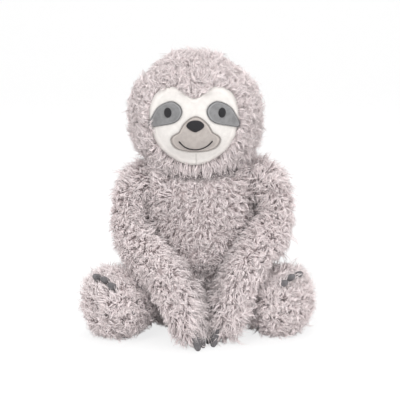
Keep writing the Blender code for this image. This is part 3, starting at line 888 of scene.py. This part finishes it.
def smooth_outline(points, closed):
    """A smooth line through the points given."""
    count = len(points)
    drawn = []
    for number in range(count if closed else count - 1):
        if closed:
            p = [points[(number + k) % count] for k in (-1, 0, 1, 2)]
        else:
            p = [points[min(max(number + k, 0), count - 1)] for k in (-1, 0, 1, 2)]
        for step in range(OUTLINE_STEPS):
            t = step / OUTLINE_STEPS
            drawn.append(
                0.5 * (2 * p[1] + (p[2] - p[0]) * t + (2 * p[0] - 5 * p[1] + 4 * p[2] - p[3]) * t * t
                + (3 * p[1] - p[0] - 3 * p[2] + p[3]) * t**3)
            )
    if not closed:
        drawn.append(points[-1])
    return drawn


def face_point(share):
    return Vector((share[0] * FACE_HALF_WIDTH, share[1] * FACE_HALF_HEIGHT))


def mirrored(half):
    return [face_point(share) for share in half] + [
        face_point((-share[0], share[1])) for share in reversed(half[1:-1])
    ]


def muzzle_outline():
    return aside(smooth_outline(mirrored(MUZZLE_HALF_SHARES), True), MUZZLE_ASIDE)


def panel_outline():
    return aside(smooth_outline(mirrored(FACE_HALF_SHARES), True), FACE_ASIDE)


def patch_outline(side):
    points = [face_point((SIDES[side] * out, up)) for out, up in PATCH_SHARES]
    return aside(smooth_outline(points, True), PATCH_ASIDE[side])


def head_ground():
    """The head's skin as a surface that the face is laid on."""
    skin = bpy.data.objects["head_plush"]
    return BVHTree.FromPolygons(
        [vertex.co.copy() for vertex in skin.data.vertices],
        [tuple(face.vertices) for face in skin.data.polygons],
    )


def on_face(ground, point, depth):
    """The place at this depth below the outside of the head, straight behind a point of the face."""
    start = FACE_CENTRE + Vector((point.x, -1, point.y))
    hit = ground.ray_cast(start, Vector((0, 1, 0)))[0]
    if hit is None:
        raise RuntimeError(f"the face runs off the head at {tuple(point)}")
    away = (hit - HEAD_CENTRE).normalized()
    return hit + (SKIN_DEPTH - depth) * away


def pillow(name, ground, outline, middle, top, back, puff=0.0):
    """A sewn shape: a ball pressed flat to an outline and laid on the head, with a round rim."""
    piece = new_sphere(name, len(outline), PILLOW_RINGS)
    rims = piece.data.attributes.new(RIM_NAME, "FLOAT", "POINT")
    for vertex in piece.data.vertices:
        share = min(1.0, math.hypot(vertex.co.x, vertex.co.y))
        rims.data[vertex.index].value = share
        turn = math.atan2(vertex.co.y, vertex.co.x) % math.tau
        number = round(turn / math.tau * len(outline)) % len(outline)
        point = middle + share * (outline[number] - middle)
        rim = share**8
        crown = puff * (1 - share * share)
        edge = (top + back) / 2
        if vertex.co.z > 0.001:
            depth = top + (edge - top) * rim - crown
        elif vertex.co.z < -0.001:
            depth = back + (edge - back) * rim
        else:
            depth = edge
        vertex.co = on_face(ground, point, depth)
    pick(piece)
    bpy.ops.object.mode_set(mode="EDIT")
    bpy.ops.mesh.select_all(action="SELECT")
    bpy.ops.mesh.normals_make_consistent(inside=False)
    bpy.ops.object.mode_set(mode="OBJECT")
    bpy.ops.object.shade_smooth()
    return piece


def even_steps(points, gap, closed):
    """Places a gap apart along a line, each with the line's direction there."""
    line = points + [points[0]] if closed else points
    reach = [0.0]
    for before, after in zip(line, line[1:]):
        reach.append(reach[-1] + (after - before).length)
    count = max(2, round(reach[-1] / gap))
    places = []
    number = 0
    for step in range(count if closed else count + 1):
        wanted = reach[-1] * step / count
        while number < len(line) - 2 and reach[number + 1] < wanted:
            number += 1
        share = (wanted - reach[number]) / max(reach[number + 1] - reach[number], 1e-9)
        places.append((line[number].lerp(line[number + 1], share), (line[number + 1] - line[number]).normalized()))
    return places


def stitch_row(name, ground, points, closed, lean, depth, length, radius, gap, swell=0.0):
    """One stitch is modelled and copied along a line on the face, at a lean to it. The row may swell at its ends."""
    stitch = new_sphere(name, 6, 5)
    shape = [vertex.co.copy() for vertex in stitch.data.vertices]
    polygons = [tuple(face.vertices) for face in stitch.data.polygons]
    bpy.data.objects.remove(stitch)
    corners = []
    faces = []
    steps = even_steps(points, gap, closed)
    for number, (place, way) in enumerate(steps):
        thick = radius * (1 + swell * abs(2 * number / len(steps) - 1) ** 2)
        turned = Matrix.Rotation(lean, 2) @ way
        tip = on_face(ground, place + turned * length / 2, depth)
        tail = on_face(ground, place - turned * length / 2, depth)
        along = tip - tail
        up = (tip - HEAD_CENTRE).normalized()
        across = along.cross(up).normalized()
        up = across.cross(along).normalized()
        base = len(corners)
        for co in shape:
            corners.append((tip + tail) / 2 + along * co.z * 0.5 + across * co.x * thick + up * co.y * thick)
        faces.extend(tuple(base + corner for corner in face) for face in polygons)
    mesh = bpy.data.meshes.new(name)
    mesh.from_pydata(corners, [], faces)
    mesh.validate()
    piece = bpy.data.objects.new(name, mesh)
    bpy.context.scene.collection.objects.link(piece)
    pick(piece)
    bpy.ops.object.mode_set(mode="EDIT")
    bpy.ops.mesh.select_all(action="SELECT")
    bpy.ops.mesh.normals_make_consistent(inside=False)
    bpy.ops.object.mode_set(mode="OBJECT")
    bpy.ops.object.shade_smooth()
    return piece


def claw(name, node):
    """A rounded felt tongue over a claw's solid, which also reaches down to the skin."""
    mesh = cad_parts[node].data
    points = np.array([list(vertex.co) for vertex in mesh.vertices])
    middle = points.mean(0)
    spread, axes = np.linalg.eigh(np.cov((points - middle).T))
    ahead = Vector(axes[:, 2])
    flat = Vector(axes[:, 0])
    home = HIPS if node.startswith("foot") else SHOULDERS
    side = node.rsplit("_", 1)[1]
    away = Vector(middle) - home[side]
    if node.startswith("hand"):
        away = Vector((0, 0, -1))
    if ahead.dot(away) < 0:
        ahead.negate()
    across = ahead.cross(flat).normalized()
    along = (points - middle) @ np.array(ahead)
    paw = node.split("_", 1)[0]
    low, high = along.min() - CLAW_ROOT, along.max() - CLAW_SHORTENING[paw]
    piece = new_sphere(name, CLAW_SEGMENTS, CLAW_RINGS)
    centre = Vector(middle) + ahead * (low + high) / 2
    for vertex in piece.data.vertices:
        co = vertex.co.copy()
        fullness = (1 - abs(co.z) ** 3) ** (1 / 2.4) if abs(co.z) < 1 else 0
        ring = math.hypot(co.x, co.y)
        scale = fullness / ring if ring > 1e-4 else 0
        place = centre + ahead * co.z * (high - low) / 2
        place += across * co.x * scale * CLAW_HALF_WIDTHS[paw]
        place += flat * co.y * scale * CLAW_HALF_THICKNESS
        place.z = max(place.z, FLOOR_LIFT)
        vertex.co = place
    return piece


def joined(name, pieces):
    start_clean()
    for piece in pieces:
        piece.select_set(True)
    bpy.context.view_layer.objects.active = pieces[0]
    bpy.ops.object.join()
    piece = bpy.context.object
    piece.name = name
    piece.data.name = name
    bpy.ops.object.mode_set(mode="EDIT")
    bpy.ops.mesh.select_all(action="SELECT")
    bpy.ops.mesh.normals_make_consistent(inside=False)
    bpy.ops.object.mode_set(mode="OBJECT")
    bpy.ops.object.shade_smooth()
    return piece


class SLOTH_OT_skins(bpy.types.Operator):
    """Make the knitted backing of the body, the head and the limbs"""

    bl_idname = "sloth.skins"
    bl_label = "Skins"

    def execute(self, context):
        colours = context.scene.sloth_colours
        backing = skin_finish(colours)
        grown = FILLING_DEPTH - SKIN_DEPTH
        made = {"body_plush": (body_skin("body_plush"), "torso", "body_cover")}
        head = swell_chin(limb_skin("head_plush", "head_filling", grown))
        made["head_plush"] = (head, "head", "head_cover")
        for side in SIDES:
            arm = limb_skin(f"arm_plush_{side}", f"arm_{side}", -SKIN_DEPTH)
            leg = limb_skin(f"leg_plush_{side}", f"leg_filling_{side}", grown)
            made[arm.name] = (arm, f"arm_{side}", f"arm_{side}")
            made[leg.name] = (leg, f"leg_{side}", f"leg_cover_{side}")
        for piece, body, node in made.values():
            finish_with(piece, backing)
            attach(piece, body)
            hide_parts(node)
        return {"FINISHED"}


def outside_ball(places, middle, radius):
    return np.linalg.norm(places - np.array(middle), axis=1) > radius


def above_neck(places):
    return (places - np.array(NECK_CENTRE)) @ np.array(NECK_NORMAL)


def face_edge(places, outline):
    """How far each place lies outside the face's outline, seen from the front. Inside is below 0."""
    flat = np.stack((places[:, 0] - FACE_CENTRE.x, places[:, 2] - FACE_CENTRE.z), 1)
    line = np.array([list(point) for point in outline])
    turn = np.arctan2(flat[:, 1], flat[:, 0]) % math.tau
    turns = np.arctan2(line[:, 1], line[:, 0]) % math.tau
    order = np.argsort(turns)
    reach = np.hypot(line[:, 0], line[:, 1])
    rim = np.interp(turn, turns[order], reach[order], period=math.tau)
    away = np.hypot(flat[:, 0], flat[:, 1]) - rim
    away[places[:, 1] > HEAD_CENTRE.y] = 1.0
    return away


def bushed(places, strength):
    """A comb that turns the pile up and outwards."""
    comb = np.zeros((len(places), 3))
    comb[:, 0] = 0.9 * strength * np.sign(places[:, 0])
    comb[:, 2] = 1.1 * strength
    return comb


def claw_places(paw, side):
    meshes = [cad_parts[f"{paw}_claw_{which}_{side}"].data for which in CLAW_NAMES]
    return np.array([np.mean([list(vertex.co) for vertex in mesh.vertices], axis=0) for mesh in meshes])


def over_claws(places, paw):
    """A comb that lays the pile over the nearest claw, and how near that claw is, from 0 to 1."""
    claws = np.concatenate([claw_places(paw, side) for side in SIDES])
    ways = claws[None] - places[:, None]
    away = np.linalg.norm(ways, axis=2)
    nearest = away.argmin(1)
    rows = np.arange(len(places))
    near = np.clip(1.5 - 1.5 * away[rows, nearest] / CLAW_FUR[paw], 0, 1)
    return near[:, None] * unit(ways[rows, nearest]), near


class SLOTH_OT_pile(bpy.types.Operator):
    """Cover the skins with curly pile"""

    bl_idname = "sloth.pile"
    bl_label = "Pile"

    def execute(self, context):
        sizes = context.scene.sloth_sizes
        finish = pile_finish(context.scene.sloth_colours)
        outline = panel_outline()

        def head_style(places, ups):
            away = face_edge(places, outline)
            near = np.clip(1 - away / FACE_FRINGE, 0, 1)
            outwards = places - np.array(FACE_CENTRE)
            chin = (places[:, 2] < CHIN_TOP) & (places[:, 1] < CHIN_BACK)
            cheek = (places[:, 2] < CHEEK_TOP) & (np.abs(places[:, 0] - HEAD_CENTRE.x) > CHEEK_OUT)
            comb = 0.8 * unit(outwards)
            outwards[:, 1] = 0
            comb += near[:, None] * unit(outwards) + chin[:, None] * np.array((0, -0.5, -0.8))
            under = np.clip(-1.4 * ups[:, 2], 0, 1) * chin
            nook = (places[:, 2] < CHEEK_TOP - 0.014) & (places[:, 0] > CHEEK_OUT)
            rise = (0.94 - 0.25 * near * ~chin) * (1 + 0.16 * cheek + 0.2 * under + 0.4 * nook)
            crown = (places[:, 2] > CROWN_FLOOR) & (np.abs(places[:, 0] - HEAD_CENTRE.x) > CROWN_OUT)
            right = places[:, 0] < HEAD_CENTRE.x - CHEEK_OUT
            rise *= 1 - 0.35 * crown - 0.28 * right
            # Painted shade: the pile under the chin is painted darker; the chin and the lower cheeks are a little
            # darker too.
            tone = 0.72 - 0.08 * cheek - 0.03 * chin - 0.05 * under
            return rise, 1.1 - 0.3 * chin + 0.16 * cheek, comb, tone

        def body_style(places, ups):
            high = ramp(places[:, 2], SHOULDER_FUR_FLOOR, SHOULDER_FUR_FULL)
            high *= ramp(np.abs(places[:, 0]), SHOULDER_FUR_IN, SHOULDER_FUR_OUT)
            # Painted shade: below the neck's seam the pile of the chest is painted dark, under the chin.
            collar_painted_shade = np.clip((above_neck(places) + COLLAR_DROP) / COLLAR_FADE, 0, 1)
            collar_painted_shade *= (places[:, 1] < 0) * (1 - high)
            comb = np.array((0, 0, -0.35)) + bushed(places, 0.6 * high)
            # Painted shade: low on the front of the belly, where the forearms meet, the pile is painted darker.
            lap_painted_shade = 1 - ramp(places[:, 2], LAP_TOP - LAP_FADE / 2, LAP_TOP + LAP_FADE / 2)
            lap_painted_shade *= ramp(places[:, 2], LAP_BOTTOM, LAP_BOTTOM + LAP_FADE) * (places[:, 1] < 0)
            lap_painted_shade *= 1 - ramp(np.abs(places[:, 0] - LAP_MIDDLE), LAP_HALF_WIDTH, LAP_HALF_WIDTH + LAP_FADE)
            rise = 0.97 + 0.2 * high - 0.75 * collar_painted_shade - 0.35 * lap_painted_shade
            # Painted shade: the front of the belly is painted darker out towards the arms.
            side = np.clip((np.abs(places[:, 0]) - BELLY_SIDE) / BELLY_SIDE_FADE, 0, 1)
            side *= (1 - high) * (places[:, 1] < 0)
            # The tone is lowered as painted shade under the chin, low on the belly where the forearms meet, and at
            # the belly's sides beside the arms.
            tone = 0.87 - 0.92 * collar_painted_shade - 0.60 * lap_painted_shade - 0.3 * side
            return rise, 0.84 + 0.3 * high - 0.55 * collar_painted_shade, comb, tone

        def arm_style(places, ups):
            high = ramp(places[:, 2], SHOULDER_FUR_FLOOR, SHOULDER_FUR_FULL)
            inner = (places[:, 2] < HAND_FUR_TOP) & (np.abs(places[:, 0] - HANDS_MEET) < HAND_FUR_INNER)
            outer = (places[:, 2] < HAND_FUR_TOP / 2) & (places[:, 0] > HAND_FUR_OUTER)
            comb = np.array((0, -0.3, -0.5)) + bushed(places, 0.7 * high)
            comb[:, 0] -= (0.4 * (1 - high) + 0.5 * inner) * np.sign(places[:, 0] - HANDS_MEET)
            comb[:, 2] -= 0.3 * inner
            comb[:, 0] += 0.8 * outer
            elbow = (places[:, 2] < ELBOW_TOP) & (places[:, 0] > ELBOW_OUT)
            # Painted shade: low where the hands meet, the pile is shorter and painted darker.
            hands_meet_painted_shade = 1 - ramp(places[:, 2], 0.75 * BETWEEN_HANDS_TOP, BETWEEN_HANDS_TOP)
            hands_meet_painted_shade *= 1 - ramp(np.abs(places[:, 0] - HANDS_MEET), 0.6 * BETWEEN_HANDS, BETWEEN_HANDS)
            leaning, near = over_claws(places, "hand")
            comb += 0.5 * leaning
            rise = 1 + 0.3 * high + 0.15 * high * (places[:, 0] > 0) + 0.3 * inner + 0.35 * outer + 0.4 * elbow
            rise *= 1 - 0.35 * hands_meet_painted_shade
            # Painted shade: the pile on the inner sides of the arms, turned towards the belly and the other arm, is
            # painted darker.
            inner_sides_painted_shade = np.clip(-ups[:, 0] * np.sign(places[:, 0] - HANDS_MEET) - 0.25, 0, 1) * (1 - high)
            tone = 1.0 - 0.10 * high - 0.75 * hands_meet_painted_shade - 0.9 * inner_sides_painted_shade
            return rise, 0.96 + 0.2 * high + 0.4 * inner + 0.3 * outer, comb, tone

        def leg_style(places, ups):
            high = ramp(places[:, 2], FOOT_FUR_FLOOR, FOOT_FUR_FULL)
            high *= ramp(np.abs(places[:, 0]), FOOT_FUR_SIDE, FOOT_FUR_SIDE_FULL)
            leaning, near = over_claws(places, "foot")
            comb = np.array((0, -0.2, 0.1)) + bushed(places, high) * (1 - near[:, None]) + 1.4 * leaning
            return 1.05 + 0.25 * high + 0.2 * near, 0.96 + 0.2 * high + 0.1 * near, comb, 1.0 - 0.1 * high

        def head_keep(front):
            def keep(places):
                half = (places[:, 1] < HEAD_CENTRE.y) == front
                return half & (above_neck(places) > -0.001) & (face_edge(places, outline) > -0.0004)
            return keep

        def body_keep(front):
            def keep(places):
                half = (places[:, 1] < BODY_BACKSET) == front
                for side in SIDES:
                    half &= outside_ball(places, SHOULDERS[side], SHOULDER_BALL)
                    half &= outside_ball(places, HIPS[side], HIP_BALL)
                return half & outside_ball(places, NECK_CENTRE, NECK_HIDDEN)
            return keep

        jobs = []
        for front, word in ((True, "front"), (False, "back")):
            jobs.append((f"head_fur_{word}", "head_plush", "head", head_keep(front), head_style))
            jobs.append((f"body_fur_{word}", "body_plush", "torso", body_keep(front), body_style))
        for side in SIDES:
            def arm_keep(places):
                inner = np.hypot(places[:, 0], places[:, 1] - BODY_BACKSET) < 0.040
                return ~(inner & (places[:, 2] > 0.10))

            def leg_keep(places):
                return np.hypot(places[:, 0], places[:, 1] - BODY_BACKSET) > 0.046

            jobs.append((f"arm_fur_{side}", f"arm_plush_{side}", f"arm_{side}", arm_keep, arm_style))
            jobs.append((f"leg_fur_{side}", f"leg_plush_{side}", f"leg_{side}", leg_keep, leg_style))
        for seed, (name, skin, body, keep, style) in enumerate(jobs):
            piece = pile(name, bpy.data.objects[skin], sizes, keep, style, seed + 11)
            finish_with(piece, finish)
            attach(piece, body)
        return {"FINISHED"}


class SLOTH_OT_face(bpy.types.Operator):
    """Lay the short-pile panel, the eye patches and the muzzle on the head"""

    bl_idname = "sloth.face"
    bl_label = "Face cloth"

    def execute(self, context):
        colours = context.scene.sloth_colours
        ground = head_ground()
        seam = (FACE_CENTRE.x + 0.001, FACE_CENTRE.z - FACE_HALF_HEIGHT, FACE_CENTRE.z - 0.66 * FACE_HALF_HEIGHT)
        outline = panel_outline()
        panel = pillow("face_cloth", ground, outline, face_point(FACE_MIDDLE_SHARE), PANEL_TOP, PANEL_BACK)
        cloth = short_pile_finish("face_short_pile", colours.face, 0.07, seam)
        self.sew(panel, cloth, "face_panel", "face_plush")
        grey = short_pile_finish("eye_patch_pile", colours.eye_patch, 0.24)
        for side, sign in SIDES.items():
            middle = face_point((sign * PATCH_MIDDLE_SHARE[0], PATCH_MIDDLE_SHARE[1]))
            patch = pillow(
                f"eye_cloth_{side}", ground, patch_outline(side), middle, PATCH_TOP, PATCH_BACK
            )
            self.sew(patch, grey, f"eye_patch_{side}", "patch_grey")
        muzzle = pillow(
            "muzzle_cloth", ground, muzzle_outline(), face_point(MUZZLE_MIDDLE_SHARE), PATCH_TOP, PATCH_BACK, 0.0009
        )
        self.sew(muzzle, short_pile_finish("muzzle_pile", colours.muzzle, 0.12), "muzzle_patch", "patch_taupe")
        return {"FINISHED"}

    def sew(self, piece, finish, node, slot):
        finish_with(piece, finish)
        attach(piece, "head")
        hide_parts(node)


class SLOTH_OT_stitching(bpy.types.Operator):
    """Stitch the eyes, the nose, the smile and the rims of the patches"""

    bl_idname = "sloth.stitching"
    bl_label = "Stitching"

    def execute(self, context):
        sizes = context.scene.sloth_sizes
        colours = context.scene.sloth_colours
        ground = head_ground()
        satin = thread_finish("satin_thread", colours.thread, False)
        nose_points = smooth_outline(mirrored(NOSE_HALF_SHARES), True)
        nose = pillow("nose_stitching", ground, nose_points, face_point(NOSE_MIDDLE_SHARE), NOSE_TOP, THREAD_BACK, 0.0006)
        self.sew(nose, satin, "nose", "stitching")
        rim_grey = thread_finish("patch_thread", scaled(colours.eye_patch, 0.80), True)
        rim_taupe = thread_finish("muzzle_thread", scaled(colours.muzzle, 0.68), True)
        whip = {"length": sizes.stitch_length, "radius": sizes.stitch_radius, "gap": sizes.stitch_gap}
        lean = math.radians(68)
        for side, sign in SIDES.items():
            out, up = EYE_PLACE_SHARES[side]
            place = face_point((sign * out, up))
            rim = []
            for step in range(32):
                turn = math.tau * step / 32
                rim.append(place + Vector((EYE_HALF_WIDTH * math.cos(turn), EYE_HALF_HEIGHT * math.sin(turn))))
            eye = pillow(f"eye_stitching_{side}", ground, rim, place, STITCH_TOP, THREAD_BACK, 0.0005)
            self.sew(eye, satin, f"eye_{side}", "stitching")
            row = stitch_row(
                f"eye_patch_stitches_{side}", ground, patch_outline(side), True, lean,
                PATCH_TOP + 0.0002, **whip,
            )
            self.sew(row, rim_grey, None, "stitching")
        row = stitch_row("muzzle_stitches", ground, muzzle_outline(), True, lean, PATCH_TOP, **whip)
        self.sew(row, rim_taupe, None, "stitching")
        smile = smooth_outline([face_point(share) for share in SMILE_SHARES], False)
        mouth = stitch_row(
            "mouth_stitching", ground, smile, False, math.radians(16), STITCH_TOP,
            0.0019, 0.00050, 0.0007, 0.45,
        )
        self.sew(mouth, satin, "mouth", "stitching")
        return {"FINISHED"}

    def sew(self, piece, finish, node, slot):
        finish_with(piece, finish)
        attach(piece, "head")
        if node:
            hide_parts(node)


class SLOTH_OT_claws(bpy.types.Operator):
    """Sew three felt claws on each paw"""

    bl_idname = "sloth.claws"
    bl_label = "Claws"

    def execute(self, context):
        felt = felt_finish(context.scene.sloth_colours.claw)
        for side in SIDES:
            for paw, body in (("foot", f"leg_{side}"), ("hand", f"arm_{side}")):
                nodes = [f"{paw}_claw_{which}_{side}" for which in CLAW_NAMES]
                piece = joined(f"{paw}_claws_{side}", [claw(node + "_felt", node) for node in nodes])
                finish_with(piece, felt)
                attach(piece, body)
                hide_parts(*nodes)
        return {"FINISHED"}


class SLOTH_OT_filling(bpy.types.Operator):
    """Give the fillings and the pellet bag their finish"""

    bl_idname = "sloth.filling"
    bl_label = "Filling"

    def execute(self, context):
        colours = context.scene.sloth_colours
        fibre = fibre_finish(colours.filling)
        for node in ("body_filling", "head_filling", "leg_filling_left", "leg_filling_right"):
            finish_with(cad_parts[node], fibre)
        finish_with(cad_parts["pellet_bag"], weave_finish(colours.bag))
        return {"FINISHED"}


class SLOTH_OT_stage(bpy.types.Operator):
    """Set up the pale floor, the soft lamps and the camera"""

    bl_idname = "sloth.stage"
    bl_label = "Stage"

    def execute(self, context):
        scene = context.scene
        scene.view_settings.view_transform = "Standard"
        self.floor(scene.sloth_colours)
        self.world(scene)
        self.lamp("key", Vector((-0.7, -1.6, 1.7)), 1.3, 26)
        self.lamp("fill", Vector((1.3, -1.4, 1.0)), 1.2, 14)
        self.lamp("top", Vector((0.1, 0.4, 2.1)), 1.4, 14)
        back = Vector((0, -math.cos(CAMERA_ELEVATION), math.sin(CAMERA_ELEVATION)))
        lens = bpy.data.cameras.new("camera")
        lens.lens = CAMERA_LENS
        lens.sensor_width = CAMERA_SENSOR
        camera = bpy.data.objects.new("camera", lens)
        scene.collection.objects.link(camera)
        camera.location = CAMERA_TARGET + CAMERA_DISTANCE * back
        camera.rotation_euler = (-back).to_track_quat("-Z", "Y").to_euler()
        scene.camera = camera
        return {"FINISHED"}

    def floor(self, colours):
        start_clean()
        bpy.ops.mesh.primitive_plane_add(size=2 * FLOOR_HALF)
        floor = bpy.context.object
        floor.name = "studio_floor"
        pick(floor)
        bpy.ops.object.mode_set(mode="EDIT")
        bpy.ops.mesh.select_all(action="DESELECT")
        bpy.ops.object.mode_set(mode="OBJECT")
        for edge in floor.data.edges:
            edge.select = all(floor.data.vertices[v].co.y > 0 for v in edge.vertices)
        bpy.ops.object.mode_set(mode="EDIT")
        bpy.ops.mesh.select_mode(type="EDGE")
        bpy.ops.mesh.extrude_region_move(TRANSFORM_OT_translate={"value": (0, 0, BACKDROP_HEIGHT)})
        bpy.ops.object.mode_set(mode="OBJECT")
        curve = floor.modifiers.new("sweep", "BEVEL")
        curve.width = 0.8
        curve.segments = 12
        apply_all(floor)
        bpy.ops.object.shade_smooth()
        finish = Finish("studio_paper", 0.9)
        finish.shade(rgba(colours.floor))
        ray = finish.node("ShaderNodeLightPath", {}, {}, "Is Camera Ray")
        glow = finish.node("ShaderNodeEmission", {}, {"Color": (1, 1, 1, 1), "Strength": 1.0})
        lit = Term(finish, finish.surface.outputs[0])
        seen = finish.node("ShaderNodeMixShader", {}, {0: ray * 0.80, 1: lit, 2: glow})
        output = finish.tree.nodes["Material Output"]
        finish.tree.links.new(seen.socket, output.inputs["Surface"])
        finish_with(floor, finish.material)

    def world(self, scene):
        world = scene.world or bpy.data.worlds.new("studio")
        scene.world = world
        world.use_nodes = True
        nodes, links = world.node_tree.nodes, world.node_tree.links
        nodes.clear()
        path = nodes.new("ShaderNodeLightPath")
        seen = nodes.new("ShaderNodeMath")
        seen.operation = "MAXIMUM"
        links.new(path.outputs["Is Camera Ray"], seen.inputs[0])
        links.new(path.outputs["Is Glossy Ray"], seen.inputs[1])
        through = nodes.new("ShaderNodeMath")
        through.operation = "MAXIMUM"
        links.new(seen.outputs[0], through.inputs[0])
        links.new(path.outputs["Is Transmission Ray"], through.inputs[1])
        strength = nodes.new("ShaderNodeMapRange")
        strength.inputs["To Min"].default_value = 0.70
        strength.inputs["To Max"].default_value = 1.0
        links.new(through.outputs[0], strength.inputs["Value"])
        sky = nodes.new("ShaderNodeBackground")
        sky.inputs["Color"].default_value = (1, 1, 1, 1)
        links.new(strength.outputs[0], sky.inputs["Strength"])
        output = nodes.new("ShaderNodeOutputWorld")
        links.new(sky.outputs[0], output.inputs["Surface"])

    def lamp(self, name, place, size, watts):
        lamp = bpy.data.lights.new(name, "AREA")
        lamp.shape = "DISK"
        lamp.size = size
        lamp.energy = watts
        piece = bpy.data.objects.new(name, lamp)
        bpy.context.scene.collection.objects.link(piece)
        piece.location = place
        piece.rotation_euler = (CAMERA_TARGET - place).to_track_quat("-Z", "Y").to_euler()


OPERATORS = (
    SLOTH_OT_skins,
    SLOTH_OT_pile,
    SLOTH_OT_face,
    SLOTH_OT_stitching,
    SLOTH_OT_claws,
    SLOTH_OT_filling,
    SLOTH_OT_stage,
)


class SLOTH_PT_panel(bpy.types.Panel):
    bl_label = "Plush Sloth"
    bl_space_type = "VIEW_3D"
    bl_region_type = "UI"
    bl_category = "Sloth"

    def draw(self, context):
        for group in (context.scene.sloth_sizes, context.scene.sloth_colours):
            for name in group.__annotations__:
                self.layout.prop(group, name)
        for operator in OPERATORS:
            self.layout.operator(operator.bl_idname)


CLASSES = (PlushSizes, PlushColours, *OPERATORS, SLOTH_PT_panel)


def register():
    for made in CLASSES:
        bpy.utils.register_class(made)
    bpy.types.Scene.sloth_sizes = PointerProperty(type=PlushSizes)
    bpy.types.Scene.sloth_colours = PointerProperty(type=PlushColours)


def unregister():
    del bpy.types.Scene.sloth_colours
    del bpy.types.Scene.sloth_sizes
    for made in reversed(CLASSES):
        bpy.utils.unregister_class(made)


def main():
    register()
    bpy.ops.sloth.skins()
    bpy.ops.sloth.pile()
    bpy.ops.sloth.face()
    bpy.ops.sloth.stitching()
    bpy.ops.sloth.claws()
    bpy.ops.sloth.filling()
    bpy.ops.sloth.stage()


if __name__ == "__main__":
    main()
